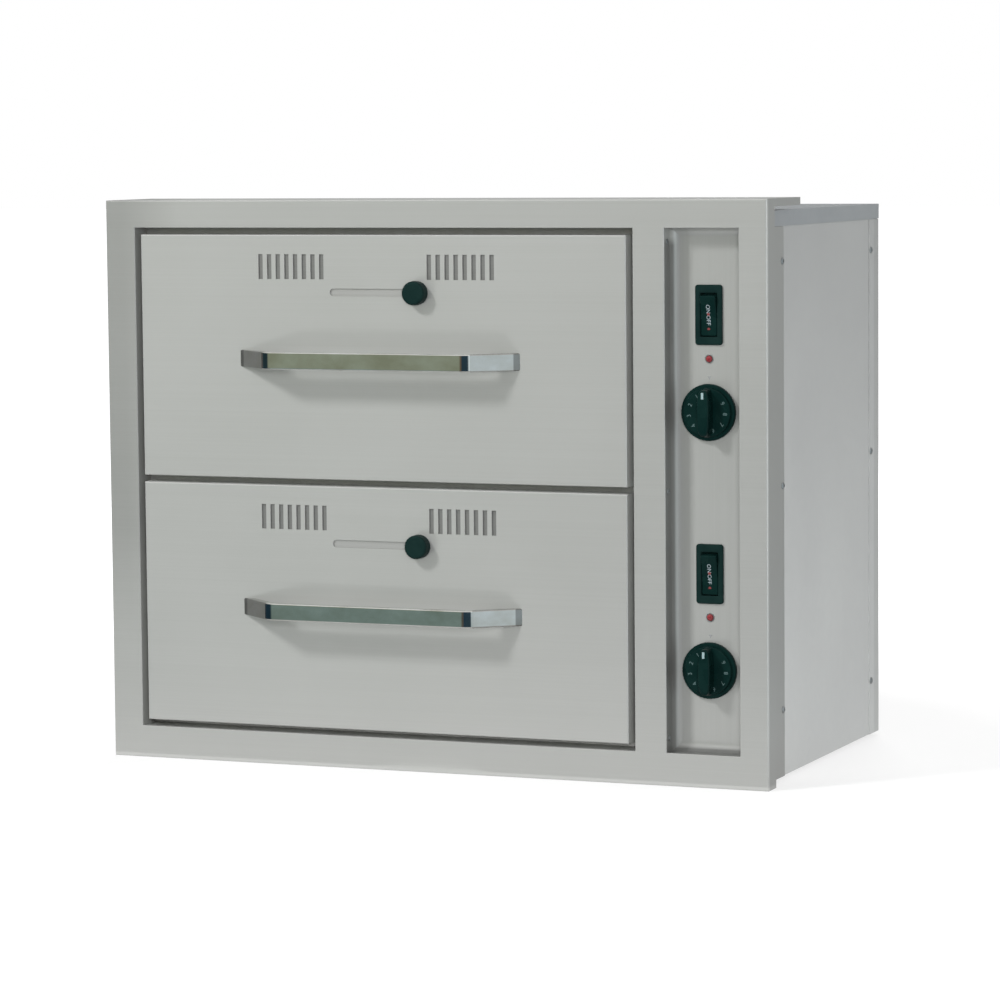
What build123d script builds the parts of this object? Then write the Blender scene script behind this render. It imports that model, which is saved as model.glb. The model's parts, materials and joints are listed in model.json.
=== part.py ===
from build123d import *
import math
import os

# Built-in food warmer: two pan drawers beside a recessed control column, behind one face frame.
# Millimetres, +Z up, the front faces -Y. The origin is under the middle of the overall box.

# Face frame
frame_width = 740.0
frame_height = 596.0
frame_sheet = 1.5
frame_edge_radius = 1.5
opening_edge_radius = 1.0
border_left = 34.0
border_right = 30.0
border_top = 29.0
border_bottom = 34.0
mullion_width = 34.0
recess_width = 79.0
return_depth = 26.0
opening_return = 20.0
ledge_depth = 108.0
ledge_hem = 8.0
collar_depth = 79.0
ledge_hole_radius = 2.75
ledge_hole_span = 600.0
ledge_hole_pitch = 50.0
ledge_hole_setback = 62.0

# Body casing
body_depth = 411.0
body_sheet = 1.2
side_inset = 10.0
top_inset = 12.5
bottom_inset = 4.0
lid_flange = 16.0
back_flange = 34.0
flange_clearance = 0.5
nut_strip_sheet = 1.5
nut_strip_width = 26.0

# Screws through the collar and the back's flanges into the side panels
front_screw_setback = 5.0
front_screw_rise = 69.0
front_screw_lift = 9.5
front_screw_drop = 51.5
rear_screw_setback = 29.0
rear_screw_rise = 59.0
rear_screw_lift = 21.5
rear_screw_drop = 49.5
screw_head_radius = 3.8
screw_head_height = 1.8
screw_head_taper = 30.0
screw_shank_radius = 1.9
screw_length = 7.0
screw_clearance = 0.2

# Cable inlet in the back panel
inlet_height = 90.0
inlet_bore_radius = 5.5
inlet_neck_radius = 9.0
inlet_collar_radius = 12.5
inlet_collar = 4.0
inlet_neck = 8.0
inlet_bevel = 1.5
inlet_clearance = 0.2

# Heated bay
liner_sheet = 1.0
back_space = 24.8
compartment_space = 17.0
blanket_clearance = 0.5
blanket_joint = 1.0
bay_lip = 12.0
bay_lip_clearance = 2.0

# Drawer fronts
front_gap = 7.0
front_depth = 26.0
front_sheet = 1.2
front_edge_radius = 1.5
front_liner_sheet = 1.0
front_pad_clearance = 2.0
front_pad_pocket = 9.0

# Vents and their shutter, measured down from the top of a drawer front
vent_shift = 3.0
vent_drop = 33.5
vent_offset = 96.0
vent_count = 8
vent_pitch = 10.0
vent_slot_width = 5.0
vent_slot_height = 26.0
slider_drop = 60.0
slider_slot_height = 8.0
shutter_travel = 95.0
shutter_sheet = 1.0
shutter_clearance = 0.4
shutter_lap = 5.0
shutter_bar_height = 22.0
guide_sheet = 1.2
guide_foot = 7.0
guide_overrun = 2.0
guide_lip = 5.0
slider_knob_radius = 12.5
slider_knob_height = 13.0
slider_knob_bevel = 3.0
slider_knob_gap = 0.5
slider_neck_clearance = 0.4
slider_rivet_radius = 2.0
slider_rivet_head_radius = 4.0
slider_rivet_head_height = 1.0
rivet_clearance = 0.05

# Drawer handle
handle_reach = 38.0
handle_height = 18.0
handle_thickness = 9.0
handle_corner_radius = 1.5
handle_foot_span = 303.0
handle_bar_span = 223.0
handle_bend_radius = 14.0
handle_drop = 130.0
handle_stud_radius = 2.5
handle_stud_length = 9.0
handle_stud_clearance = 0.25
handle_nut_across_flats = 8.0
handle_nut_height = 4.0
handle_nut_clearance = 0.05

# Pan and the carriage that holds its rim
pan_rim = 8.0
pan_rim_radius = 30.0
pan_mouth_radius = 38.0
pan_depth = 150.0
pan_sheet = 1.0
pan_draft = 5.0
pan_foot_radius = 14.0
pan_clearance = 3.0
pan_seat_clearance = 1.0
carriage_sheet = 1.5
carriage_top = 190.0
carriage_height = 66.0
carriage_seat_drop = 6.0
carriage_rear_space = 24.0

# Telescopic slides
slide_space = 13.5
slide_height = 46.0
slide_sheet = 1.5
slide_clearance = 0.35
slide_standoff = 2.5
slide_lip = 5.5
slide_setback = 2.0
slide_rear_gap = 11.0
slide_drop = 40.0

# Heating elements, one hairpin on the floor of each bay
element_radius = 4.0
element_height = 22.0
element_front_depth = 130.0
element_rear_depth = 290.0
element_bend_radius = 60.0
element_end_gap = 46.0
element_tail = 24.0
element_hole_clearance = 0.5
clip_sheet = 1.5
clip_width = 18.0
clip_foot = 12.0
clip_rise = 3.0
clip_clearance = 0.3
clip_spacing = 300.0

# Control column
panel_sheet = 1.2
panel_depth = 24.0
panel_flange = 7.5
panel_bend_radius = 9.0
knob_height = 76.5
pilot_height = 130.5
switch_height = 175.0

knob_skirt_radius = 29.0
knob_skirt_thickness = 5.0
knob_shoulder_radius = 25.0
knob_shoulder_height = 8.0
knob_grip_width = 13.0
knob_grip_radius = 24.0
knob_grip_height = 22.0
knob_edge_bevel = 1.5
knob_clearance = 0.6
spindle_radius = 3.0
spindle_grip = 14.0
spindle_fit = 0.05
spindle_push_fit = 0.02
spindle_end_gap = 0.5

thermostat_width = 38.0
thermostat_height = 40.0
thermostat_depth = 26.0
thermostat_bore_depth = 20.0
bush_radius = 5.0
bush_clearance = 0.3
capillary_radius = 1.2
capillary_sides = 6
capillary_bend_radius = 10.0
capillary_depth = 145.0
capillary_hole_clearance = 0.8
bulb_radius = 3.0
bulb_length = 80.0
bulb_lead = 36.0
bulb_wall_gap = 2.0

bezel_width = 29.0
bezel_height = 61.0
bezel_thickness = 2.5
bezel_corner_radius = 3.0
switch_body_width = 24.4
switch_body_height = 54.0
switch_body_depth = 34.0
switch_cutout_clearance = 0.3
rocker_width = 17.0
rocker_half_height = 20.5
rocker_pocket_clearance = 1.7
rocker_side_clearance = 0.5
rocker_pocket_depth = 13.0
rocker_pivot_depth = 6.5
rocker_end_rise = 8.5
rocker_middle_rise = 6.2
rocker_skirt = 2.0
rocker_heel = 3.0
rocker_throw = 16.0
trunnion_radius = 1.5
trunnion_length = 2.0
trunnion_fit = 0.05

pilot_lens_radius = 4.5
pilot_lens_height = 3.0
pilot_bevel = 1.8
pilot_body_radius = 3.8
pilot_body_depth = 24.0
pilot_clearance = 0.2

# Places that follow from the sizes above
overall_depth = handle_reach + body_depth + max(body_sheet, inlet_collar)
y_front = handle_reach - overall_depth / 2
y_back = y_front + body_depth
y_panel_back = y_back - body_sheet
y_panel_front = y_front + frame_sheet

opening_width = frame_width - border_left - border_right - mullion_width - recess_width
opening_height = frame_height - border_top - border_bottom
opening_left = border_left - frame_width / 2
opening_right = opening_left + opening_width
opening_x = (opening_left + opening_right) / 2
opening_top = border_bottom + opening_height
opening_z = border_bottom + opening_height / 2
recess_x = opening_right + mullion_width + recess_width / 2
control_x = recess_x
inlet_x = recess_x

body_half = frame_width / 2 - side_inset
inner_half = body_half - body_sheet
body_bottom = bottom_inset
body_top = frame_height - top_inset
lid_underside = body_top - body_sheet
side_top = body_top - lid_flange - flange_clearance
collar_half = body_half + frame_sheet
floor_top = body_bottom + body_sheet
base_flange = border_bottom - panel_flange - flange_clearance - bottom_inset
flange_bottom = body_bottom + base_flange + flange_clearance
tray_front = return_depth + body_sheet + flange_clearance

liner_back_depth = body_depth - body_sheet - back_space
shield_x = opening_right + liner_sheet + compartment_space
blanket_half = body_half - screw_length - blanket_clearance

front_width = opening_width - 2 * front_gap
front_height = (opening_height - 3 * front_gap) / 2
drawer_bases = {
    "lower": border_bottom + front_gap,
    "upper": border_bottom + 2 * front_gap + front_height,
}
bay_floors = {name: base - front_gap for name, base in drawer_bases.items()}

carriage_width = opening_width - 2 * slide_space
carriage_length = liner_back_depth - liner_sheet - carriage_rear_space - front_depth
pan_rim_width = carriage_width - 2 * (carriage_sheet + pan_clearance)
pan_rim_depth = carriage_length - 2 * (carriage_sheet + pan_clearance)
pan_mouth_width = pan_rim_width - 2 * pan_rim
pan_mouth_depth = pan_rim_depth - 2 * pan_rim
slide_start = front_depth + slide_setback
slide_length = liner_back_depth - liner_sheet - slide_rear_gap - slide_start

vent_x = opening_x - vent_shift
vent_groups = (vent_x - vent_offset, vent_x + vent_offset)
vent_group_width = (vent_count - 1) * vent_pitch + vent_slot_width
slider_neck_radius = slider_slot_height / 2 - slider_neck_clearance
slider_slot_length = shutter_travel + slider_slot_height
slider_rest_x = vent_x + shutter_travel / 2
shutter_depth = front_sheet + shutter_clearance

element_end_x = opening_left + element_end_gap
element_ys = (y_front + element_front_depth, y_front + element_rear_depth)
element_hole_radius = element_radius + element_hole_clearance
capillary_hole_radius = capillary_radius + capillary_hole_clearance
bezel_depth = panel_depth - bezel_thickness
rocker_y = y_front + bezel_depth + rocker_pivot_depth

os.makedirs("parts", exist_ok=True)


def facing(depth):
    """Sketch plane a given depth behind the front face: local axes are X and Z, normal to the front."""
    return Plane(origin=(0, y_front + depth, 0), x_dir=(1, 0, 0), z_dir=(0, -1, 0))


def save(piece, name):
    """Labels a finished piece and writes it."""
    piece.part.label = name
    export_step(piece.part, f"parts/{name}.step")


# Places of the side screws, front row in the collar and rear row in the back's flanges
body_middle = (body_bottom + body_top) / 2
front_screw_y = y_front + collar_depth - front_screw_setback
rear_screw_y = y_back - rear_screw_setback
front_screws = [
    (front_screw_y, body_bottom + front_screw_rise),
    (front_screw_y, body_middle + front_screw_lift),
    (front_screw_y, body_top - front_screw_drop),
]
rear_screws = [
    (rear_screw_y, body_bottom + rear_screw_rise),
    (rear_screw_y, body_middle + rear_screw_lift),
    (rear_screw_y, body_top - rear_screw_drop),
]
screw_hole_radius = screw_shank_radius + screw_clearance

# Face frame: a folded tray with two openings, its top edge carried back as the mounting ledge
with BuildPart() as face_frame:
    with BuildSketch(facing(0)):
        with Locations((0, frame_height / 2)):
            Rectangle(frame_width, frame_height)
    extrude(amount=-return_depth)
    offset(amount=-frame_sheet, openings=face_frame.faces().sort_by(Axis.Y)[-1])
    with BuildSketch(Plane.XY.offset(frame_height)):
        with Locations((0, y_front + ledge_depth / 2)):
            Rectangle(frame_width, ledge_depth)
    extrude(amount=-frame_sheet)
    with BuildSketch(Plane.XY.offset(frame_height)):
        with Locations((0, y_front + (return_depth + ledge_depth) / 2)):
            Rectangle(frame_width, ledge_depth - return_depth)
        with Locations((0, y_front + (return_depth + ledge_depth) / 2 - frame_sheet)):
            Rectangle(frame_width - 2 * frame_sheet, ledge_depth - return_depth, mode=Mode.SUBTRACT)
    extrude(amount=-ledge_hem)
    with BuildSketch(facing(0)):
        with Locations((opening_x, opening_z)):
            Rectangle(opening_width + 2 * frame_sheet, opening_height + 2 * frame_sheet)
    extrude(amount=-opening_return)
    with BuildSketch(facing(0)):
        with Locations((opening_x, opening_z)):
            Rectangle(opening_width, opening_height)
        with Locations((recess_x, opening_z)):
            Rectangle(recess_width, opening_height)
    extrude(amount=-return_depth, mode=Mode.SUBTRACT)
    # Lips turned in behind the side and bottom edges, and a collar from them back along the side panels
    with BuildSketch(facing(return_depth)):
        with Locations((0, frame_height / 2)):
            Rectangle(frame_width, frame_height)
        with Locations((0, body_bottom + frame_height / 2)):
            Rectangle(2 * collar_half, frame_height, mode=Mode.SUBTRACT)
    extrude(amount=frame_sheet)
    for side in (-1, 1):
        with BuildSketch(Plane.YZ.offset(side * collar_half)):
            collar_length = collar_depth - return_depth + frame_sheet
            with Locations((y_front + collar_depth - collar_length / 2, (body_bottom + side_top) / 2)):
                Rectangle(collar_length, side_top - body_bottom)
            with Locations(*front_screws):
                Circle(screw_hole_radius, mode=Mode.SUBTRACT)
        extrude(amount=-side * frame_sheet)
    with BuildSketch(Plane.XY.offset(frame_height)):
        with Locations((0, y_front + ledge_hole_setback)):
            with GridLocations(ledge_hole_span, ledge_hole_pitch, 2, 2):
                Circle(ledge_hole_radius)
    extrude(amount=-frame_sheet, mode=Mode.SUBTRACT)
    front_face = face_frame.faces().sort_by(Axis.Y)[0]
    fillet(front_face.outer_wire().edges(), frame_edge_radius)
    front_face = face_frame.faces().sort_by(Axis.Y)[0]
    fillet([edge for wire in front_face.inner_wires() for edge in wire.edges()], opening_edge_radius)
    uprights = face_frame.edges().filter_by(Axis.Z)
    y_return = y_front + return_depth
    uprights = uprights.filter_by_position(Axis.Y, y_return - frame_sheet / 2, y_return + frame_sheet / 2)
    fillet(uprights.sort_by(Axis.X)[0::len(uprights) - 1], opening_edge_radius)
save(face_frame, "face_frame")

# Lid with flanges over the side panels and the back, and a tongue forward under the ledge
with BuildPart() as top_panel:
    lid_depth = body_depth + body_sheet - return_depth
    with BuildSketch(Plane.XY.offset(body_top)):
        with Locations((0, y_front + return_depth + lid_depth / 2)):
            Rectangle(2 * (body_half + body_sheet), lid_depth)
    extrude(amount=-lid_flange)
    lid_openings = [top_panel.faces().sort_by(Axis.Z)[0], top_panel.faces().sort_by(Axis.Y)[0]]
    offset(amount=-body_sheet, openings=lid_openings)
    with BuildSketch(Plane.XY.offset(body_top)):
        with Locations((0, y_front + (frame_sheet + return_depth) / 2)):
            Rectangle(2 * inner_half, return_depth - frame_sheet)
    extrude(amount=-body_sheet)
save(top_panel, "top_panel")

# Base tray with four upstanding edges, from the frame's rear lip to the back panel
with BuildPart() as base_panel:
    base_length = body_depth - return_depth - body_sheet
    with BuildSketch(Plane.XY.offset(body_bottom)):
        with Locations((0, y_front + return_depth + base_length / 2)):
            Rectangle(2 * inner_half, base_length)
    extrude(amount=base_flange)
    offset(amount=-body_sheet, openings=base_panel.faces().sort_by(Axis.Z)[-1])
save(base_panel, "base_panel")

# Side panels, from behind the frame's face to the back panel, under the collar and the flanges
for side_name, side in (("left", -1), ("right", 1)):
    with BuildPart() as side_panel:
        with BuildSketch(Plane.YZ.offset(side * body_half)):
            with Locations(((y_panel_front + y_panel_back) / 2, (body_bottom + lid_underside) / 2)):
                Rectangle(y_panel_back - y_panel_front, lid_underside - body_bottom)
            with Locations(*front_screws, *rear_screws):
                Circle(screw_hole_radius, mode=Mode.SUBTRACT)
        extrude(amount=-side * body_sheet)
    save(side_panel, f"{side_name}_side_panel")

# Strips behind the side panels that take the front screws
with BuildPart() as nut_strips:
    for side in (-1, 1):
        with BuildSketch(Plane.YZ.offset(side * inner_half)):
            with Locations((front_screw_y, (flange_bottom + lid_underside) / 2)):
                Rectangle(nut_strip_width, lid_underside - flange_bottom)
            with Locations(*front_screws):
                Circle(screw_hole_radius, mode=Mode.SUBTRACT)
        extrude(amount=-side * nut_strip_sheet)
save(nut_strips, "nut_strips")

# Back panel with flanges forward over the side panels, and the cable inlet hole
with BuildPart() as back_panel:
    with BuildSketch(facing(body_depth)):
        with Locations((0, (body_bottom + lid_underside) / 2)):
            Rectangle(2 * body_half, lid_underside - body_bottom)
    extrude(amount=body_sheet)
    for side in (-1, 1):
        with BuildSketch(Plane.YZ.offset(side * body_half)):
            with Locations((y_back - back_flange / 2, (body_bottom + side_top) / 2)):
                Rectangle(back_flange, side_top - body_bottom)
            with Locations(*rear_screws):
                Circle(screw_hole_radius, mode=Mode.SUBTRACT)
        extrude(amount=side * body_sheet)
    with BuildSketch(facing(body_depth)):
        with Locations((inlet_x, inlet_height)):
            Circle(inlet_neck_radius + inlet_clearance)
    extrude(amount=body_sheet, mode=Mode.SUBTRACT)
save(back_panel, "back_panel")

# Raised-head screws against the collar and the back's flanges
with BuildPart() as side_screws:
    for screws, head_seat in ((front_screws, collar_half), (rear_screws, body_half + body_sheet)):
        for side in (-1, 1):
            with BuildSketch(Plane.YZ.offset(side * head_seat)):
                with Locations(*screws):
                    Circle(screw_head_radius)
            extrude(amount=screw_head_height, dir=(side, 0, 0), taper=screw_head_taper)
            with BuildSketch(Plane.YZ.offset(side * head_seat)):
                with Locations(*screws):
                    Circle(screw_shank_radius)
            extrude(amount=-side * screw_length)
save(side_screws, "side_screws")

# Cable inlet bush: collar outside the back panel, neck through it
with BuildPart() as cable_inlet:
    with BuildSketch(facing(body_depth)):
        with Locations((inlet_x, inlet_height)):
            Circle(inlet_collar_radius)
    extrude(amount=-inlet_collar)
    with BuildSketch(facing(body_depth)):
        with Locations((inlet_x, inlet_height)):
            Circle(inlet_neck_radius)
    extrude(amount=inlet_neck)
    chamfer(cable_inlet.faces().sort_by(Axis.Y)[-1].outer_wire().edges(), inlet_bevel)
    with BuildSketch(facing(body_depth + inlet_collar)):
        with Locations((inlet_x, inlet_height)):
            Circle(inlet_bore_radius)
    extrude(amount=inlet_collar + inlet_neck, mode=Mode.SUBTRACT)
save(cable_inlet, "cable_inlet")

# Heated bay: five liner plates and a divider, all open to the drawers
liner_length = liner_back_depth - opening_return
liner_y = y_front + opening_return + liner_length / 2
wall_openings = [(y, bay_floors[level] + element_height) for level in bay_floors for y in element_ys]
sensor_openings = [(y_front + capillary_depth, drawer_bases[level] + knob_height) for level in drawer_bases]


def pierce_for_services():
    """Holes in a wall sketch for the element tails and the thermostat capillaries."""
    with Locations(*wall_openings):
        Circle(element_hole_radius, mode=Mode.SUBTRACT)
    with Locations(*sensor_openings):
        Circle(capillary_hole_radius, mode=Mode.SUBTRACT)


with BuildPart() as liner_left:
    with BuildSketch(Plane.YZ.offset(opening_left)):
        with Locations((liner_y, opening_z)):
            Rectangle(liner_length, opening_height + 2 * liner_sheet)
    extrude(amount=-liner_sheet)
save(liner_left, "liner_left")

with BuildPart() as liner_right:
    with BuildSketch(Plane.YZ.offset(opening_right)):
        with Locations((liner_y, opening_z)):
            Rectangle(liner_length, opening_height + 2 * liner_sheet)
        pierce_for_services()
    extrude(amount=liner_sheet)
save(liner_right, "liner_right")

with BuildPart() as liner_floor:
    with BuildSketch(Plane.XY.offset(border_bottom)):
        with Locations((opening_x, liner_y)):
            Rectangle(opening_width, liner_length)
    extrude(amount=-liner_sheet)
save(liner_floor, "liner_floor")

# Top plate with a lip behind the upper edge of the drawer front that closes against it
lip_depth = front_depth + bay_lip_clearance
with BuildPart() as liner_top:
    with BuildSketch(Plane.XY.offset(opening_top)):
        with Locations((opening_x, liner_y)):
            Rectangle(opening_width, liner_length)
    extrude(amount=liner_sheet)
    with BuildSketch(facing(lip_depth)):
        with Locations((opening_x, opening_top - bay_lip / 2)):
            Rectangle(opening_width, bay_lip)
    extrude(amount=-liner_sheet)
save(liner_top, "liner_top")

with BuildPart() as liner_back:
    with BuildSketch(facing(liner_back_depth)):
        with Locations((opening_x, opening_z)):
            Rectangle(opening_width, opening_height)
    extrude(amount=liner_sheet)
save(liner_back, "liner_back")

# Shelf between the bays with its front edge turned up behind the gap between the drawer fronts
with BuildPart() as bay_divider:
    divider_length = liner_back_depth - liner_sheet - lip_depth
    with BuildSketch(Plane.XY.offset(bay_floors["upper"])):
        with Locations((opening_x, y_front + lip_depth + divider_length / 2)):
            Rectangle(opening_width, divider_length)
    extrude(amount=-liner_sheet)
    with BuildSketch(facing(lip_depth)):
        with Locations((opening_x, bay_floors["upper"] + bay_lip / 2)):
            Rectangle(opening_width, bay_lip)
    extrude(amount=-liner_sheet)
save(bay_divider, "bay_divider")

# Mineral wool between the bay liner and the casing: floor, roof, left, right and back blankets
with BuildPart() as insulation:
    blanket_length = liner_back_depth - blanket_joint - tray_front
    blanket_y = y_front + tray_front + blanket_length / 2
    blanket_width = shield_x + blanket_half
    blanket_x = (shield_x - blanket_half) / 2
    with BuildSketch(Plane.XY.offset(floor_top)):
        with Locations((blanket_x, blanket_y)):
            Rectangle(blanket_width, blanket_length)
    extrude(amount=border_bottom - liner_sheet - floor_top)
    with BuildSketch(Plane.XY.offset(lid_underside)):
        with Locations((blanket_x, blanket_y)):
            Rectangle(blanket_width, blanket_length)
    extrude(amount=opening_top + liner_sheet - lid_underside)
    with BuildSketch(Plane.YZ.offset(opening_left - liner_sheet)):
        with Locations((blanket_y, opening_z)):
            Rectangle(blanket_length, opening_height)
    extrude(amount=opening_left - liner_sheet + blanket_half, dir=(-1, 0, 0))
    with BuildSketch(Plane.YZ.offset(opening_right + liner_sheet)):
        with Locations((blanket_y, opening_z)):
            Rectangle(blanket_length, opening_height)
        pierce_for_services()
    extrude(amount=compartment_space)
    with BuildSketch(facing(liner_back_depth)):
        with Locations((blanket_x, opening_z)):
            Rectangle(blanket_width, opening_height)
    extrude(amount=body_sheet + blanket_clearance - back_space)
save(insulation, "insulation")

# Shield between the heated bay and the control compartment
with BuildPart() as heat_shield:
    shield_length = liner_back_depth - tray_front
    with BuildSketch(Plane.YZ.offset(shield_x)):
        with Locations((y_front + tray_front + shield_length / 2, (floor_top + lid_underside) / 2)):
            Rectangle(shield_length, lid_underside - floor_top)
        pierce_for_services()
    extrude(amount=liner_sheet)
save(heat_shield, "heat_shield")

# Control panel: a tray sunk behind the frame, with a flange against the frame's back
with BuildPart() as control_panel:
    with BuildSketch(facing(frame_sheet)):
        with Locations((recess_x, opening_z)):
            Rectangle(recess_width + 2 * panel_sheet, opening_height + 2 * panel_sheet)
    extrude(amount=frame_sheet - panel_depth - panel_sheet)
    fillet(control_panel.faces().sort_by(Axis.Y)[-1].edges(), panel_bend_radius + panel_sheet)
    offset(amount=-panel_sheet, openings=control_panel.faces().sort_by(Axis.Y)[0])
    with BuildSketch(facing(frame_sheet)):
        with Locations((recess_x, opening_z)):
            Rectangle(recess_width + 2 * panel_flange, opening_height + 2 * panel_flange)
            Rectangle(recess_width, opening_height, mode=Mode.SUBTRACT)
    extrude(amount=-panel_sheet)
    for base in drawer_bases.values():
        with BuildSketch(facing(panel_depth)):
            with Locations((control_x, base + knob_height)):
                Circle(bush_radius + bush_clearance)
            with Locations((control_x, base + pilot_height)):
                Circle(pilot_body_radius + pilot_clearance)
            with Locations((control_x, base + switch_height)):
                cutout_width = switch_body_width + 2 * switch_cutout_clearance
                cutout_height = switch_body_height + 2 * switch_cutout_clearance
                Rectangle(cutout_width, cutout_height)
        extrude(amount=-panel_sheet, mode=Mode.SUBTRACT)
save(control_panel, "control_panel")

for level, base in drawer_bases.items():
    knob_z = base + knob_height
    pilot_z = base + pilot_height
    switch_z = base + switch_height
    knob_back = panel_depth - knob_clearance
    body_front = panel_depth + panel_sheet

    # Thermostat: body behind the panel, bush through it, capillary to a bulb inside the bay
    with BuildPart() as thermostat:
        with BuildSketch(facing(body_front)):
            with Locations((control_x, knob_z)):
                Rectangle(thermostat_width, thermostat_height)
        extrude(amount=-thermostat_depth)
        with BuildSketch(facing(body_front)):
            with Locations((control_x, knob_z)):
                Circle(bush_radius)
        extrude(amount=panel_sheet)
        with BuildSketch(facing(panel_depth)):
            with Locations((control_x, knob_z)):
                Circle(spindle_radius + spindle_fit)
        extrude(amount=-(panel_sheet + thermostat_bore_depth), mode=Mode.SUBTRACT)
        bulb_x = opening_right - bulb_wall_gap - capillary_bend_radius
        capillary_start = y_front + body_front + thermostat_depth
        capillary_y = y_front + capillary_depth
        with BuildLine(Plane.XY.offset(knob_z)) as capillary:
            FilletPolyline(
                (control_x, capillary_start),
                (control_x, capillary_y),
                (bulb_x, capillary_y),
                (bulb_x, capillary_y + bulb_lead),
                radius=capillary_bend_radius,
            )
        with BuildSketch(Plane(origin=capillary.line @ 0, z_dir=capillary.line % 0)):
            RegularPolygon(capillary_radius, capillary_sides)
        sweep(path=capillary.line)
        with BuildSketch(facing(capillary_depth + bulb_lead)):
            with Locations((bulb_x, knob_z)):
                Circle(bulb_radius)
        extrude(amount=-bulb_length)
    save(thermostat, f"{level}_thermostat")

    # Spindle that turns in the thermostat's bush and carries the knob
    with BuildPart() as spindle:
        with BuildSketch(facing(knob_back - spindle_grip)):
            with Locations((control_x, knob_z)):
                Circle(spindle_radius)
        spindle_length = spindle_grip + knob_clearance + panel_sheet + thermostat_bore_depth
        extrude(amount=spindle_end_gap - spindle_length)
    save(spindle, f"{level}_spindle")

    # Skirted knob with a bar grip
    with BuildPart() as knob:
        with BuildSketch(facing(knob_back)):
            with Locations((control_x, knob_z)):
                Circle(knob_skirt_radius)
        extrude(amount=knob_skirt_thickness)
        skirt_rim = knob.edges().filter_by(GeomType.CIRCLE).sort_by(Axis.Y)[0]
        chamfer(skirt_rim, knob_edge_bevel)
        with BuildSketch(facing(knob_back)):
            with Locations((control_x, knob_z)):
                Circle(knob_shoulder_radius)
        extrude(amount=knob_shoulder_height)
        shoulder_rim = knob.edges().filter_by(GeomType.CIRCLE).sort_by(Axis.Y)[0]
        chamfer(shoulder_rim, knob_edge_bevel)
        with BuildSketch(facing(knob_back)):
            with Locations((control_x, knob_z)):
                Circle(knob_grip_radius)
                Rectangle(knob_grip_width, 2 * knob_grip_radius, mode=Mode.INTERSECT)
        extrude(amount=knob_grip_height)
        chamfer(knob.faces().sort_by(Axis.Y)[0].edges(), knob_edge_bevel)
        with BuildSketch(facing(knob_back)):
            with Locations((control_x, knob_z)):
                Circle(spindle_radius + spindle_push_fit)
        extrude(amount=spindle_grip, mode=Mode.SUBTRACT)
    save(knob, f"{level}_knob")

    # Pilot light: bevelled lens on the panel, barrel behind it
    with BuildPart() as pilot_light:
        with BuildSketch(facing(panel_depth)):
            with Locations((control_x, pilot_z)):
                Circle(pilot_lens_radius)
        extrude(amount=pilot_lens_height)
        chamfer(pilot_light.edges().sort_by(Axis.Y)[0], pilot_bevel)
        with BuildSketch(facing(panel_depth)):
            with Locations((control_x, pilot_z)):
                Circle(pilot_body_radius)
        extrude(amount=-pilot_body_depth)
    save(pilot_light, f"{level}_pilot_light")

    # Switch housing: bezel on the panel, body through its cut-out, pocket and pivot holes for the rocker
    with BuildPart() as switch_housing:
        with BuildSketch(facing(panel_depth)):
            with Locations((control_x, switch_z)):
                RectangleRounded(bezel_width, bezel_height, bezel_corner_radius)
        extrude(amount=bezel_thickness)
        with BuildSketch(facing(panel_depth)):
            with Locations((control_x, switch_z)):
                Rectangle(switch_body_width, switch_body_height)
        extrude(amount=-switch_body_depth)
        with BuildSketch(facing(bezel_depth)):
            with Locations((control_x, switch_z)):
                pocket_width = rocker_width + 2 * rocker_side_clearance
                pocket_height = 2 * (rocker_half_height + rocker_pocket_clearance)
                Rectangle(pocket_width, pocket_height)
        extrude(amount=-rocker_pocket_depth, mode=Mode.SUBTRACT)
        pivot_reach = rocker_width / 2 + trunnion_length + rocker_side_clearance
        with BuildSketch(Plane.YZ.offset(control_x - pivot_reach)):
            with Locations((rocker_y, switch_z)):
                Circle(trunnion_radius + trunnion_fit)
        extrude(amount=2 * pivot_reach, mode=Mode.SUBTRACT)
    save(switch_housing, f"{level}_switch_housing")

    # Rocker at rest in its off position, top end out, on two trunnions
    with BuildPart() as rocker:
        lean = math.radians(rocker_throw / 2)
        lean_dir = (0, math.cos(lean), math.sin(lean))
        rocker_left = (control_x - rocker_width / 2, rocker_y, switch_z)
        with BuildSketch(Plane(origin=rocker_left, x_dir=lean_dir, z_dir=(1, 0, 0))):
            with BuildLine():
                ThreePointArc(
                    (-rocker_end_rise, rocker_half_height),
                    (-rocker_middle_rise, 0),
                    (-rocker_end_rise, -rocker_half_height),
                )
                Polyline(
                    (-rocker_end_rise, -rocker_half_height),
                    (-rocker_skirt, -rocker_half_height),
                    (rocker_heel, -rocker_heel),
                    (rocker_heel, rocker_heel),
                    (-rocker_skirt, rocker_half_height),
                    (-rocker_end_rise, rocker_half_height),
                )
            make_face()
        extrude(amount=rocker_width)
        trunnion_left = (control_x - rocker_width / 2 - trunnion_length, rocker_y, switch_z)
        with BuildSketch(Plane(origin=trunnion_left, x_dir=lean_dir, z_dir=(1, 0, 0))):
            Circle(trunnion_radius)
        extrude(amount=rocker_width + 2 * trunnion_length)
    save(rocker, f"{level}_rocker")

# Heating elements: a hairpin tube on the floor of each bay, its tails in the control compartment
tail_x = shield_x + liner_sheet + element_tail
for level, floor in bay_floors.items():
    with BuildPart() as element:
        with BuildLine(Plane.XY.offset(floor + element_height)) as hairpin:
            FilletPolyline(
                (tail_x, element_ys[0]),
                (element_end_x, element_ys[0]),
                (element_end_x, element_ys[1]),
                (tail_x, element_ys[1]),
                radius=element_bend_radius,
            )
        with BuildSketch(Plane(origin=hairpin.line @ 0, z_dir=hairpin.line % 0)):
            Circle(element_radius)
        sweep(path=hairpin.line)
    save(element, f"{level}_element")

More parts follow.
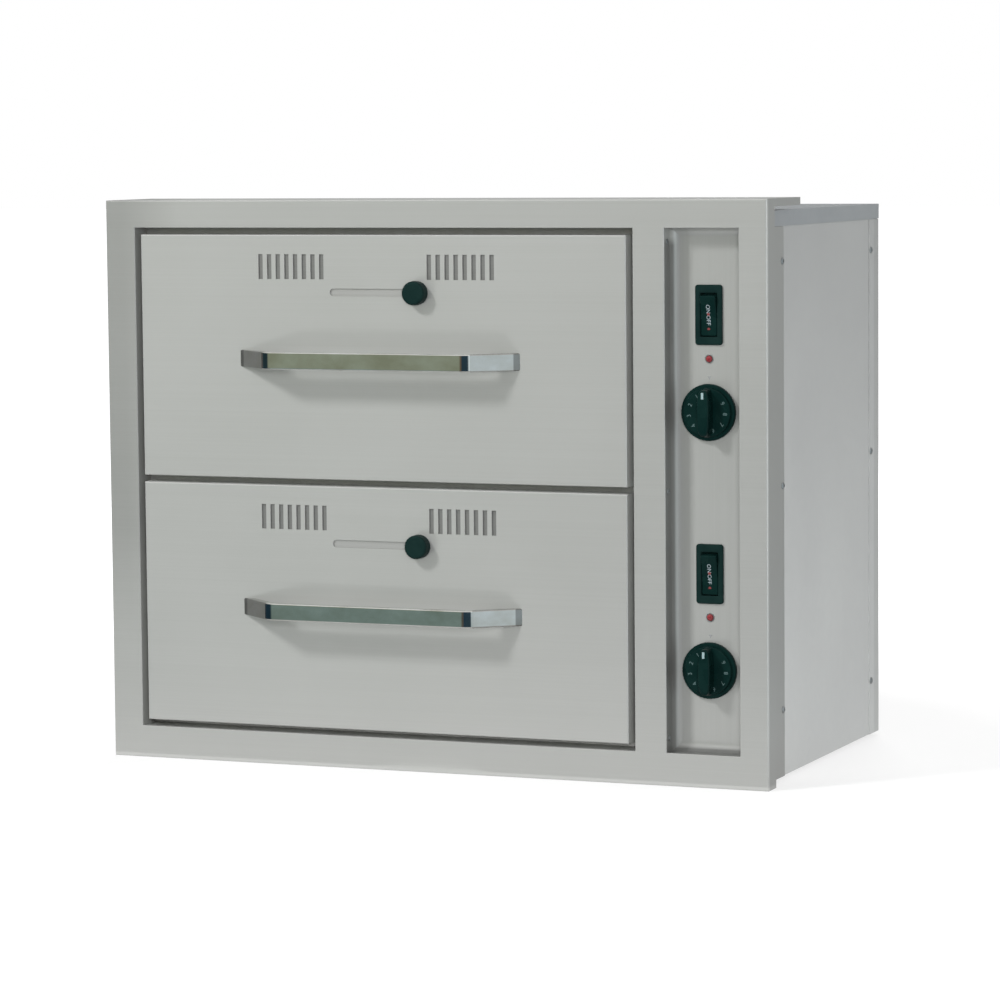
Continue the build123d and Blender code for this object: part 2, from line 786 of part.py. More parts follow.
# Clips that hold the elements off the bay floors, open at the top
with BuildPart() as element_clips:
    for floor in bay_floors.values():
        for clip_x in (opening_x - clip_spacing / 2, opening_x + clip_spacing / 2):
            for clip_y in element_ys:
                clip_height = element_height + clip_rise
                cradle_radius = element_radius + clip_clearance
                with BuildSketch(Plane.YZ.offset(clip_x)):
                    with Locations((clip_y, floor + clip_height / 2)):
                        Rectangle(clip_width, clip_height)
                    with Locations((clip_y, floor + element_height)):
                        Circle(cradle_radius, mode=Mode.SUBTRACT)
                    with Locations((clip_y, floor + element_height + clip_height / 2)):
                        Rectangle(2 * cradle_radius, clip_height, mode=Mode.SUBTRACT)
                extrude(amount=clip_sheet)
                with BuildSketch(Plane.XY.offset(floor)):
                    with Locations((clip_x + clip_foot / 2, clip_y)):
                        Rectangle(clip_foot, clip_width)
                extrude(amount=clip_sheet)
save(element_clips, "element_clips")

# Telescopic slides beside each drawer: a fixed rail on the bay wall, a middle rail running inside it
# and an inner rail on the carriage, nested with the same running clearance
fixed_half = slide_height / 2
fixed_reach = slide_space - slide_standoff
nesting = slide_sheet + slide_clearance
middle_half = fixed_half - nesting
middle_reach = fixed_reach - 2 * nesting
inner_rail_half = middle_half - nesting
inner_rail_start = fixed_reach - 2 * nesting - slide_sheet
inner_rail_hat_half = middle_half - slide_sheet - slide_lip - slide_clearance
inner_rail_length = carriage_length - slide_setback


def lipped_rail(side, height, start, reach, half):
    """Section of a channel with turned-in lips, its web towards the bay wall, its mouth towards the drawer."""
    wall_x = opening_x + side * opening_width / 2
    with Locations((wall_x - side * (start + reach / 2), height)):
        Rectangle(reach, 2 * half)
        Rectangle(reach - 2 * slide_sheet, 2 * (half - slide_sheet), mode=Mode.SUBTRACT)
    with Locations((wall_x - side * (start + reach - slide_sheet / 2), height)):
        Rectangle(slide_sheet, 2 * (half - slide_sheet - slide_lip), mode=Mode.SUBTRACT)


def hat_rail(side, height):
    """Section of the inner rail: two flanges inside the middle rail and a hat out to the carriage."""
    wall_x = opening_x + side * opening_width / 2
    hat_reach = slide_space - inner_rail_start
    with Locations((wall_x - side * (inner_rail_start + slide_sheet / 2), height)):
        Rectangle(slide_sheet, 2 * inner_rail_half)
    with Locations((wall_x - side * (inner_rail_start + hat_reach / 2), height)):
        Rectangle(hat_reach, 2 * inner_rail_hat_half)
    with Locations((wall_x - side * (inner_rail_start + (hat_reach - slide_sheet) / 2), height)):
        hollow_half = inner_rail_hat_half - slide_sheet
        Rectangle(hat_reach - slide_sheet, 2 * hollow_half, mode=Mode.SUBTRACT)


for level, base in drawer_bases.items():
    slide_z = base + carriage_top - slide_drop

    with BuildPart() as fixed_slides:
        with BuildSketch(facing(slide_start)):
            for side in (-1, 1):
                lipped_rail(side, slide_z, 0, fixed_reach, fixed_half)
        extrude(amount=-slide_length)
    save(fixed_slides, f"{level}_fixed_slides")

    with BuildPart() as mid_slides:
        with BuildSketch(facing(slide_start)):
            for side in (-1, 1):
                lipped_rail(side, slide_z, nesting, middle_reach, middle_half)
        extrude(amount=-slide_length)
    save(mid_slides, f"{level}_mid_slides")

    with BuildPart() as inner_slides:
        with BuildSketch(facing(slide_start)):
            for side in (-1, 1):
                hat_rail(side, slide_z)
        extrude(amount=-inner_rail_length)
    save(inner_slides, f"{level}_inner_slides")


def vent_slots(front_top):
    """Two groups of upright slots across the top of a drawer front."""
    for group_x in vent_groups:
        with Locations((group_x, front_top - vent_drop)):
            with GridLocations(vent_pitch, vent_pitch, vent_count, 1):
                Rectangle(vent_slot_width, vent_slot_height)


carriage_y = y_front + front_depth + carriage_length / 2
shutter_flag_width = vent_group_width + 2 * shutter_lap
shutter_width = 2 * vent_offset + shutter_flag_width
shutter_back = shutter_depth + shutter_sheet
guide_back = shutter_back + shutter_clearance + guide_sheet

for level, base in drawer_bases.items():
    front_z = base + front_height / 2
    front_top = base + front_height
    slider_z = front_top - slider_drop
    handle_z = front_top - handle_drop
    foot_places = [(opening_x + end * handle_foot_span / 2, handle_z) for end in (-1, 1)]
    seat_z = base + carriage_top - carriage_seat_drop
    flag_top = front_top - vent_drop + vent_slot_height / 2 + shutter_lap
    bar_bottom = slider_z - shutter_bar_height / 2

    # Drawer front: a folded box open at the back, with vents, slider slot and handle holes
    with BuildPart() as front_skin:
        with BuildSketch(facing(0)):
            with Locations((opening_x, front_z)):
                Rectangle(front_width, front_height)
        extrude(amount=-front_depth)
        offset(amount=-front_sheet, openings=front_skin.faces().sort_by(Axis.Y)[-1])
        fillet(front_skin.faces().sort_by(Axis.Y)[0].edges(), front_edge_radius)
        with BuildSketch(facing(0)):
            vent_slots(front_top)
            with Locations((vent_x, slider_z)):
                SlotOverall(slider_slot_length, slider_slot_height)
            with Locations(*foot_places):
                Circle(handle_stud_radius + handle_stud_clearance)
        extrude(amount=-front_sheet, mode=Mode.SUBTRACT)
    save(front_skin, f"{level}_front_skin")

    # Inner plate that closes the back of the drawer front
    with BuildPart() as front_liner:
        with BuildSketch(facing(front_depth)):
            with Locations((opening_x, front_z)):
                Rectangle(front_width - 2 * front_sheet, front_height - 2 * front_sheet)
        extrude(amount=front_liner_sheet)
        with BuildSketch(facing(front_depth)):
            vent_slots(front_top)
        extrude(amount=front_liner_sheet, mode=Mode.SUBTRACT)
    save(front_liner, f"{level}_front_liner")

    # Insulating pad inside the drawer front, below the shutter, with pockets for the handle nuts
    with BuildPart() as front_pad:
        pad_bottom = base + front_sheet
        pad_top = bar_bottom - shutter_clearance - guide_foot - front_pad_clearance
        with BuildSketch(facing(front_sheet)):
            with Locations((opening_x, (pad_bottom + pad_top) / 2)):
                Rectangle(front_width - 2 * (front_sheet + front_pad_clearance), pad_top - pad_bottom)
            with Locations(*foot_places):
                Circle(front_pad_pocket, mode=Mode.SUBTRACT)
        extrude(amount=front_sheet + front_liner_sheet - front_depth)
    save(front_pad, f"{level}_front_pad")

    # Handle: one bent bar with two raked legs, a threaded stud in each foot
    with BuildPart() as handle:
        bar_y = y_front - handle_reach + handle_thickness / 2
        leg_run = (handle_foot_span - handle_bar_span) / 2
        buried_run = leg_run * handle_thickness / (y_front - bar_y)
        with BuildLine(Plane.XY.offset(handle_z)) as handle_line:
            FilletPolyline(
                (opening_x - handle_foot_span / 2 - buried_run, y_front + handle_thickness),
                (opening_x - handle_bar_span / 2, bar_y),
                (opening_x + handle_bar_span / 2, bar_y),
                (opening_x + handle_foot_span / 2 + buried_run, y_front + handle_thickness),
                radius=handle_bend_radius,
            )
        with BuildSketch(Plane(origin=handle_line.line @ 0, x_dir=(0, 0, 1), z_dir=handle_line.line % 0)):
            RectangleRounded(handle_height, handle_thickness, handle_corner_radius)
        sweep(path=handle_line.line)
        split(bisect_by=facing(0), keep=Keep.TOP)
        with BuildSketch(facing(0)):
            with Locations(*foot_places):
                Circle(handle_stud_radius)
        extrude(amount=-handle_stud_length)
    save(handle, f"{level}_handle")

    with BuildPart() as handle_nuts:
        with BuildSketch(facing(front_sheet)):
            with Locations(*foot_places):
                RegularPolygon(handle_nut_across_flats / 2, 6, major_radius=False)
                Circle(handle_stud_radius + handle_nut_clearance, mode=Mode.SUBTRACT)
        extrude(amount=-handle_nut_height)
    save(handle_nuts, f"{level}_handle_nuts")

    # Shutter: a flag behind each group of vents on one bar behind the slider slot, at rest over the vents
    with BuildPart() as shutter:
        with BuildSketch(facing(shutter_depth)):
            with Locations((vent_x, slider_z)):
                Rectangle(shutter_width, shutter_bar_height)
            for group_x in vent_groups:
                with Locations((group_x, (flag_top + bar_bottom) / 2)):
                    Rectangle(shutter_flag_width, flag_top - bar_bottom)
            with Locations((slider_rest_x, slider_z)):
                Circle(slider_rivet_radius + rivet_clearance, mode=Mode.SUBTRACT)
        extrude(amount=-shutter_sheet)
    save(shutter, f"{level}_shutter")

    # Joggled strips on the inside of the front that hold the shutter's edges
    with BuildPart() as vent_guides:
        guide_length = shutter_width + shutter_travel + 2 * guide_overrun
        guide_left = vent_x - shutter_width / 2 - shutter_travel - guide_overrun
        with BuildSketch(Plane.YZ.offset(guide_left)):
            for edge_z, outwards in ((flag_top, 1), (bar_bottom, -1)):
                step_z = edge_z + outwards * shutter_clearance
                foot_y = y_front + front_sheet + guide_sheet / 2
                step_y = y_front + (front_sheet + guide_back) / 2
                lip_y = y_front + guide_back - guide_sheet / 2
                with Locations((foot_y, step_z + outwards * guide_foot / 2)):
                    Rectangle(guide_sheet, guide_foot)
                with Locations((step_y, step_z + outwards * guide_sheet / 2)):
                    Rectangle(guide_back - front_sheet, guide_sheet)
                with Locations((lip_y, step_z + outwards * (guide_sheet - guide_lip) / 2)):
                    Rectangle(guide_sheet, guide_lip + guide_sheet)
        extrude(amount=guide_length)
    save(vent_guides, f"{level}_vent_guides")

    # Slider knob: bevelled head in front, neck through the slot, rivet and its head behind the shutter
    with BuildPart() as slider_knob:
        with BuildSketch(facing(-slider_knob_gap)):
            with Locations((slider_rest_x, slider_z)):
                Circle(slider_knob_radius)
        extrude(amount=slider_knob_height)
        chamfer(slider_knob.edges().sort_by(Axis.Y)[0], slider_knob_bevel)
        with BuildSketch(facing(-slider_knob_gap)):
            with Locations((slider_rest_x, slider_z)):
                Circle(slider_neck_radius)
        extrude(amount=-(slider_knob_gap + shutter_depth))
        with BuildSketch(facing(shutter_depth)):
            with Locations((slider_rest_x, slider_z)):
                Circle(slider_rivet_radius)
        extrude(amount=-(shutter_sheet + slider_rivet_head_height))
        with BuildSketch(facing(shutter_back)):
            with Locations((slider_rest_x, slider_z)):
                Circle(slider_rivet_head_radius)
        extrude(amount=-slider_rivet_head_height)
    save(slider_knob, f"{level}_slider_knob")

    # Carriage: a deep ring behind the front, with a ledge inside it for the pan's rim
    with BuildPart() as carriage:
        with BuildSketch(Plane.XY.offset(base + carriage_top)):
            with Locations((opening_x, carriage_y)):
                Rectangle(carriage_width, carriage_length)
                Rectangle(
                    carriage_width - 2 * carriage_sheet,
                    carriage_length - 2 * carriage_sheet,
                    mode=Mode.SUBTRACT,
                )
        extrude(amount=-carriage_height)
        with BuildSketch(Plane.XY.offset(seat_z)):
            with Locations((opening_x, carriage_y)):
                Rectangle(carriage_width, carriage_length)
                RectangleRounded(
                    pan_mouth_width + 2 * pan_seat_clearance,
                    pan_mouth_depth + 2 * pan_seat_clearance,
                    pan_mouth_radius + pan_seat_clearance,
                    mode=Mode.SUBTRACT,
                )
        extrude(amount=-carriage_sheet)
    save(carriage, f"{level}_carriage")

    # Deep-drawn pan with drafted walls, hung by its rim on the carriage's ledge
    with BuildPart() as pan_hollow:
        with BuildSketch(Plane.XY.offset(seat_z + pan_sheet)):
            with Locations((opening_x, carriage_y)):
                RectangleRounded(
                    pan_mouth_width - 2 * pan_sheet,
                    pan_mouth_depth - 2 * pan_sheet,
                    pan_mouth_radius - pan_sheet,
                )
        extrude(amount=pan_sheet - pan_depth, taper=pan_draft)
        fillet(pan_hollow.faces().sort_by(Axis.Z)[0].edges(), pan_foot_radius - pan_sheet)

    with BuildPart() as pan:
        with BuildSketch(Plane.XY.offset(seat_z + pan_sheet)):
            with Locations((opening_x, carriage_y)):
                RectangleRounded(pan_mouth_width, pan_mouth_depth, pan_mouth_radius)
        extrude(amount=-pan_depth, taper=pan_draft)
        fillet(pan.faces().sort_by(Axis.Z)[0].edges(), pan_foot_radius)
        with BuildSketch(Plane.XY.offset(seat_z)):
            with Locations((opening_x, carriage_y)):
                RectangleRounded(pan_rim_width, pan_rim_depth, pan_rim_radius)
        extrude(amount=pan_sheet)
        add(pan_hollow.part, mode=Mode.SUBTRACT)
    save(pan, f"{level}_pan")
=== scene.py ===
import json
import logging
import math
from dataclasses import dataclass, field, replace
from enum import Enum
from typing import ClassVar, Self

import bmesh
import bpy
import numpy as np
from mathutils import Euler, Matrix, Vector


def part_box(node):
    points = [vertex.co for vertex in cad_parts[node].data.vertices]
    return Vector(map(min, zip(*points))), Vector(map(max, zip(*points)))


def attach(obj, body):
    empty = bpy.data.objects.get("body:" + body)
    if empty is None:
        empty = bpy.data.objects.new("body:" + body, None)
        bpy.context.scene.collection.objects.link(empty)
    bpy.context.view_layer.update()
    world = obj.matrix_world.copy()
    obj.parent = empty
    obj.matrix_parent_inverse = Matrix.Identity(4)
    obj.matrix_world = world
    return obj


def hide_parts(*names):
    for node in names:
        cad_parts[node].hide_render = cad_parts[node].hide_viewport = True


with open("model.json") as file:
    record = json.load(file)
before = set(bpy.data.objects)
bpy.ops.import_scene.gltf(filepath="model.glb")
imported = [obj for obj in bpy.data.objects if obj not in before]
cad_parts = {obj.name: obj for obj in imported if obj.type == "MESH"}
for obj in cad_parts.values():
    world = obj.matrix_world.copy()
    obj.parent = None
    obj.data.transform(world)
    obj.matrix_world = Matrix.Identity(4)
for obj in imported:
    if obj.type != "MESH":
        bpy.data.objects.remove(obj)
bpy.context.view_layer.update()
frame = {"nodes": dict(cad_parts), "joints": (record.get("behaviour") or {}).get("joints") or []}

LOG = logging.getLogger("food_warmer")
LEVELS = ("upper", "lower")
MM = 0.001
PANEL_SHEET = 1.2 * MM
MERGE = 0.001 * MM  # Points nearer than this become one
INK = 0.12 * MM  # Thickness of printed marks
LETTER_RATIO = 1.4  # Size of a letter over the height of its capitals
LETTER_STEPS = 3  # Segments of each curve of a letter

Pair = tuple[float, float]
Triple = tuple[float, float, float]
Socket = bpy.types.NodeSocket
Feed = Socket | float | Triple

NOISE_SPREAD: Pair = (0.3, 0.7)  # Usual least and greatest values of fractal noise
WHITE: Triple = (1.0, 1.0, 1.0)
NO_COLOUR: Triple = (0.0, 0.0, 0.0)


class Facing(Enum):
    """Which way a fitting looks: the row-frame directions of its across, up and out axes."""

    FRONT = ((1, 0, 0), (0, 0, 1), (0, -1, 0))
    RIGHT = ((0, 1, 0), (0, 0, 1), (1, 0, 0))
    LEFT = ((0, -1, 0), (0, 0, 1), (-1, 0, 0))
    UP = ((1, 0, 0), (0, 1, 0), (0, 0, 1))

    def place(self, local: np.ndarray, at: np.ndarray) -> np.ndarray:
        """Carries local (across, up, out) points to the row frame: at + across + up + out."""
        return local @ np.array(self.value, float) + at


class Grain(Enum):
    """Direction of the polishing lines, as the axis that they follow."""

    ACROSS = 0
    UPRIGHT = 2

    def stretch(self, along: float, over: float) -> Triple:
        """Pattern scale per metre: low along the lines, high over them."""
        return tuple(along if axis == self.value else over for axis in range(3))


class Blend(Enum):
    """How a second colour joins a first one."""

    TOWARDS = "MIX"
    TIMES = "MULTIPLY"


@dataclass(frozen=True)
class Noise:
    """Fractal noise: its cells per metre on each axis, and its detail."""

    scale: Triple
    detail: float


@dataclass(frozen=True)
class Relief:
    """Bump of a surface: its noise, its strength from zero to one, and its depth in metres."""

    noise: Noise
    strength: float
    depth: float


class NodeTree:
    """A shader node tree under construction."""

    def __init__(self, tree: bpy.types.NodeTree) -> None:
        """Takes up the tree's nodes and links."""
        self.nodes = tree.nodes
        self.links = tree.links

    def feed(self, entry: Socket, value: Feed) -> None:
        """Links an input to a socket, or sets it to a number or a colour.

        Args:
            entry: the input.
            value: what it gets.
        """
        if isinstance(value, Socket):
            self.links.new(value, entry)
        else:
            entry.default_value = (*value, 1.0) if entry.type == "RGBA" else value

    def add(self, kind: str, inputs: dict[int | str, Feed], output: int | str = 0,
            **options: str) -> Socket:
        """Adds a node and feeds its inputs.

        Args:
            kind: the node's type, without the prefix that all types share.
            inputs: what each input gets.
            output: the output that is wanted.
            **options: the node's own settings, such as its operation.

        Returns:
            The wanted output.
        """
        node = self.nodes.new(f"ShaderNode{kind}")
        for option, choice in options.items():
            setattr(node, option, choice)
        for name, value in inputs.items():
            self.feed(node.inputs[name], value)
        return node.outputs[output]

    def ranged(self, source: Socket, low: Feed, high: Feed, spread: Pair = NOISE_SPREAD) -> Socket:
        """Maps a pattern's usual spread, its least and greatest values, to the values low to high."""
        return self.add("MapRange", {"Value": source, "From Min": spread[0], "From Max": spread[1],
                                     "To Min": low, "To Max": high})

    def seen(self) -> Socket:
        """One for camera, mirror and transmission rays, and zero for the rest.

        Returns:
            The switch's socket.
        """
        rays = self.nodes.new("ShaderNodeLightPath").outputs
        seen = rays["Is Camera Ray"]
        for ray in ("Is Glossy Ray", "Is Transmission Ray"):
            seen = self.add("Math", {0: seen, 1: rays[ray]}, operation="MAXIMUM")
        return seen


class NodeMaterial(NodeTree):
    """A Principled material under construction, with patterns on Object coordinates."""

    def __init__(self, name: str) -> None:
        """Starts the material and its coordinates.

        Args:
            name: the material's name.
        """
        self.material = bpy.data.materials.new(name)
        self.material.use_nodes = True
        super().__init__(self.material.node_tree)
        self.shader = self.nodes["Principled BSDF"]
        self.place = self.add("TexCoord", {}, "Object")

    def shade(self, values: dict[str, Feed]) -> None:
        """Feeds the shader's own sockets."""
        for name, value in values.items():
            self.feed(self.shader.inputs[name], value)

    def noise(self, noise: Noise) -> Socket:
        """Fractal noise on the piece."""
        cells = self.add("Mapping", {"Vector": self.place, "Scale": noise.scale})
        return self.add("TexNoise", {"Vector": cells, "Scale": 1.0, "Detail": noise.detail}, "Fac")

    def cells(self, scale: float) -> Socket:
        """One random grey per crystal cell, with the given cells per metre."""
        colour = self.add("TexVoronoi", {"Vector": self.place, "Scale": scale}, "Color")
        return self.add("SeparateColor", {"Color": colour}, "Red")

    def mixed(self, factor: Socket, first: Feed, second: Triple, blend: Blend = Blend.TOWARDS) -> Socket:
        """A first colour where a factor is zero, blended with a second one where it is one."""
        return self.add("Mix", {0: factor, 6: first, 7: second}, 2, data_type="RGBA",
                        blend_type=blend.value)

    def summed(self, first: Socket, second: Socket, weight: float) -> Socket:
        """First pattern plus a weight times the second."""
        return self.add("Math", {0: second, 1: weight, 2: first}, operation="MULTIPLY_ADD")

    def product(self, first: Socket, second: Feed) -> Socket:
        """One pattern times another, or times a number."""
        return self.add("Math", {0: first, 1: second}, operation="MULTIPLY")

    def along(self, axis: int) -> Socket:
        """Place along an Object axis, in metres."""
        return self.add("SeparateXYZ", {"Vector": self.place}, axis)

    def past(self, axis: int, start: float, end: float) -> Socket:
        """Zero before one place on an Object axis, one past another, in metres."""
        return self.ranged(self.along(axis), 0.0, 1.0, (start, end))

    def distance(self) -> Socket:
        """Distance from the origin, in metres."""
        return self.add("VectorMath", {0: self.place}, "Value", operation="LENGTH")

    def banded(self, source: Socket, stops: list[tuple[float, Triple]]) -> Socket:
        """Colour stops along a value from zero to one.

        Args:
            source: the value.
            stops: place and colour of each stop, the first at zero and the last at one.

        Returns:
            The colour's socket.
        """
        ramp = self.add("ValToRGB", {"Fac": source}, "Color")
        elements = ramp.node.color_ramp.elements
        for place, _ in stops[1:-1]:
            elements.new(place)
        for element, (_, colour) in zip(elements, stops):
            element.color = (*colour, 1.0)
        return ramp

    def relief(self, relief: Relief) -> Socket:
        """Normal of a surface with a relief."""
        height = self.noise(relief.noise)
        return self.add("Bump", {"Height": height, "Strength": relief.strength, "Distance": relief.depth})


@dataclass(frozen=True)
class Zone:
    """Stretch of a piece whose colour has a gain, where all of its bounds are passed.

    A bound is an Object axis and two places in metres: the gain comes in from the first to the second.
    """

    gain: float
    bounds: tuple[tuple[int, float, float], ...]


@dataclass(frozen=True)
class Finish:
    """A named finish that makes its material once: a pattern, values even all over, and a relief."""

    name: str
    tint: Triple
    shade: Triple
    roughness: Pair
    zones: tuple[Zone, ...] = ()
    pattern: ClassVar[Noise]
    even: ClassVar[dict[str, float]] = {}
    skin: ClassVar[Relief | None] = None

    def material(self) -> bpy.types.Material:
        """The finish's material, made at its first use.

        Returns:
            The material.
        """
        known = bpy.data.materials.get(self.name)
        if known:
            return known
        work = NodeMaterial(self.name)
        self.paint(work)
        return work.material

    def paint(self, work: NodeMaterial) -> None:
        """The pattern drives colour and roughness, and the relief the bump.

        Args:
            work: the material under construction.
        """
        self.mottle(work, work.noise(self.pattern))
        work.shade(self.even)
        if self.skin:
            work.shade({"Normal": work.relief(self.skin)})

    def zoned(self, gain: float, *bounds: tuple[int, float, float]) -> Self:
        """The same finish with one more zone."""
        return replace(self, zones=(*self.zones, Zone(gain, bounds)))

    def mottle(self, work: NodeMaterial, pattern: Socket, spread: Pair = NOISE_SPREAD) -> None:
        """Drives roughness, and colour from shade to tint with the finish's zones, by a pattern.

        Args:
            work: the material under construction.
            pattern: the pattern.
            spread: the pattern's usual least and greatest values.
        """
        colour = work.mixed(work.ranged(pattern, 0.0, 1.0, spread), self.shade, self.tint)
        for zone in self.zones:
            inside = work.past(*zone.bounds[0])
            for bound in zone.bounds[1:]:
                inside = work.product(inside, work.past(*bound))
            colour = work.mixed(inside, colour, (zone.gain,) * 3, Blend.TIMES)
        work.shade({"Base Color": colour, "Roughness": work.ranged(pattern, *self.roughness, spread)})


@dataclass(frozen=True)
class BrushedSteel(Finish):
    """Satin stainless sheet: polishing lines along one axis, and faint handling clouds."""

    grain: Grain = Grain.ACROSS
    metallic: float = 0.5
    line_scale: Pair = (2.5, 750.0)
    line_detail: float = 4.0
    line_strength: float = 0.06
    line_depth: float = 0.2 * MM
    clouds: Noise = Noise((6.0, 6.0, 6.0), 3.0)
    cloud_share: float = 0.8
    wear_spread: Pair = (0.62, 1.16)

    def paint(self, work: NodeMaterial) -> None:
        """Lines and clouds drive colour and roughness, and the lines a shallow bump.

        Args:
            work: the material under construction.
        """
        lines = Noise(self.grain.stretch(*self.line_scale), self.line_detail)
        wear = work.summed(work.noise(lines), work.noise(self.clouds), self.cloud_share)
        self.mottle(work, wear, self.wear_spread)
        hairs = Relief(lines, self.line_strength, self.line_depth)
        work.shade({"Metallic": self.metallic, "Normal": work.relief(hairs)})


@dataclass(frozen=True)
class SheetSteel(Finish):
    """Mill or zinc coated sheet: faint crystal spangle under cloudy staining."""

    metallic: float = 0.7
    clouds: Noise = Noise((7.0, 7.0, 4.0), 4.0)
    cloud_spread: Pair = (0.35, 0.65)
    spangle_scale: float = 110.0
    spangle_share: float = 0.35
    skin: ClassVar[Relief] = Relief(Noise((900.0, 900.0, 900.0), 2.0), 0.06, 0.2 * MM)

    def paint(self, work: NodeMaterial) -> None:
        """Crystal cells over clouds drive colour and roughness, and the skin the bump.

        Args:
            work: the material under construction.
        """
        crystals = work.summed(work.noise(self.clouds), work.cells(self.spangle_scale), self.spangle_share)
        self.mottle(work, crystals, (self.cloud_spread[0], self.cloud_spread[1] + self.spangle_share))
        work.shade({"Metallic": self.metallic, "Normal": work.relief(self.skin)})


class PolishedChrome(Finish):
    """Bright plating with thumb smears, and hairline scratches along the bar."""

    pattern = Noise((30.0, 30.0, 45.0), 3.0)
    even = {"Metallic": 1.0}
    skin = Relief(Noise((6.0, 500.0, 900.0), 2.0), 0.03, 0.1 * MM)


class MouldedPlastic(Finish):
    """Dark moulding with slight fading and a fine spark-eroded grain."""

    pattern = Noise((60.0, 60.0, 60.0), 3.0)
    even = {"Specular IOR Level": 0.06}
    skin = Relief(Noise((1600.0, 1600.0, 1600.0), 2.0), 0.12, 0.1 * MM)


class GlossPlastic(MouldedPlastic):
    """The same moulding with a smoother, shinier skin."""

    even = {"Specular IOR Level": 0.08}
    skin = Relief(Noise((600.0, 600.0, 600.0), 2.0), 0.12, 0.1 * MM)


class JewelLens(Finish):
    """Red moulded lens with a glossy skin, and a swirl and depth in its colour."""

    pattern = Noise((500.0, 500.0, 500.0), 2.0)
    even = {"Coat Weight": 0.6, "Coat Roughness": 0.05, "Subsurface Weight": 0.15,
            "Subsurface Scale": 2.0 * MM}


class HeatStained(Finish):
    """Alloy sheath darkened by heat in bands along its run, with scale on the metal."""

    pattern = Noise((9.0, 40.0, 40.0), 3.0)
    even = {"Metallic": 0.6}
    skin = Relief(Noise((1500.0, 1500.0, 1500.0), 3.0), 0.2, 0.2 * MM)


class FibreWool(Finish):
    """Pressed mineral wool: tangled fibres in yellowish lumps."""

    pattern = Noise((25.0, 25.0, 25.0), 4.0)
    skin = Relief(Noise((120.0, 700.0, 700.0), 5.0), 0.7, 1.5 * MM)

    def paint(self, work: NodeMaterial) -> None:
        """Lumps drive the colour, and fibres the roughness and the bump."""
        super().paint(work)
        work.shade({"Roughness": work.ranged(work.noise(self.skin.noise), *self.roughness)})


class PrintedInk(Finish):
    """Pad-printed ink with fine dropout."""

    pattern = Noise((1800.0, 1800.0, 1800.0), 3.0)


FRAME_STEEL = BrushedSteel("satin_frame", (0.51, 0.517, 0.50), (0.485, 0.492, 0.475), (0.37, 0.44))
FRONT_STEEL = BrushedSteel("satin_fronts", (0.53, 0.537, 0.52), (0.505, 0.512, 0.495), (0.37, 0.44))
PANEL_STEEL = BrushedSteel("satin_panel", (0.50, 0.507, 0.49), (0.475, 0.482, 0.465), (0.37, 0.44),
                           grain=Grain.UPRIGHT)
INNER_STEEL = BrushedSteel("satin_inside", (0.50, 0.50, 0.49), (0.44, 0.44, 0.43), (0.30, 0.40))
PAN_STEEL = BrushedSteel("pan_polish", (0.66, 0.66, 0.65), (0.60, 0.60, 0.59), (0.24, 0.32), metallic=0.8,
                         line_strength=0.012)
CASING_STEEL = SheetSteel("casing_sheet", (0.587, 0.597, 0.587), (0.546, 0.556, 0.551), (0.46, 0.56),
                          metallic=0.25, spangle_share=0.2)
LID_STEEL = SheetSteel("lid_zinc", (0.335, 0.355, 0.365), (0.29, 0.31, 0.325), (0.28, 0.38), metallic=0.3)
LINER_STEEL = SheetSteel("bay_liner", (0.50, 0.50, 0.48), (0.42, 0.41, 0.39), (0.40, 0.52))
# Lighter than the liner: painted light where the lip shows in the dark gap at the foot of the lower front
LIP_STEEL_PAINTED_LIGHT = SheetSteel("bay_lip", (0.82, 0.82, 0.79), (0.72, 0.72, 0.69), (0.40, 0.52), metallic=0.3)
ZINC = SheetSteel("zinc_plate", (0.55, 0.57, 0.58), (0.47, 0.49, 0.51), (0.28, 0.40), metallic=0.95,
                  spangle_scale=300.0, spangle_share=0.15)
SCREW_STEEL = SheetSteel("screw_plate", (0.34, 0.35, 0.35), (0.24, 0.25, 0.25), (0.28, 0.40), metallic=0.95,
                         spangle_scale=900.0, spangle_share=0.15)
CHROME = PolishedChrome("bright_chrome", (0.82, 0.83, 0.82), (0.64, 0.63, 0.58), (0.06, 0.14))
BLACK = MouldedPlastic("black_moulding", (0.008, 0.022, 0.020), (0.005, 0.016, 0.015), (0.38, 0.50))
GLOSS_BLACK = GlossPlastic("black_gloss", (0.004, 0.018, 0.016), (0.002, 0.012, 0.011), (0.22, 0.32))
INLET = MouldedPlastic("inlet_moulding", (0.03, 0.03, 0.03), (0.02, 0.02, 0.02), (0.42, 0.55))
LENS = JewelLens("red_lens", (0.24, 0.022, 0.028), (0.17, 0.016, 0.02), (0.16, 0.26))
SHEATH = HeatStained("element_sheath", (0.20, 0.20, 0.19), (0.10, 0.095, 0.085), (0.45, 0.65))
WOOL = FibreWool("mineral_wool", (0.55, 0.50, 0.36), (0.40, 0.36, 0.25), (0.85, 0.98))
PALE_INK = PrintedInk("pale_ink", (0.36, 0.42, 0.45), (0.25, 0.30, 0.33), (0.40, 0.55))
POINTER_INK = PrintedInk("pointer_ink", (0.30, 0.40, 0.41), (0.20, 0.29, 0.30), (0.40, 0.55))
DIAL_INK = PrintedInk("dial_ink", (0.11, 0.17, 0.17), (0.07, 0.12, 0.12), (0.40, 0.55))
RED_INK = PrintedInk("red_ink", (0.22, 0.045, 0.045), (0.15, 0.025, 0.025), (0.40, 0.55))
GREY_INK = PrintedInk("grey_ink", (0.30, 0.31, 0.31), (0.22, 0.23, 0.23), (0.45, 0.60))

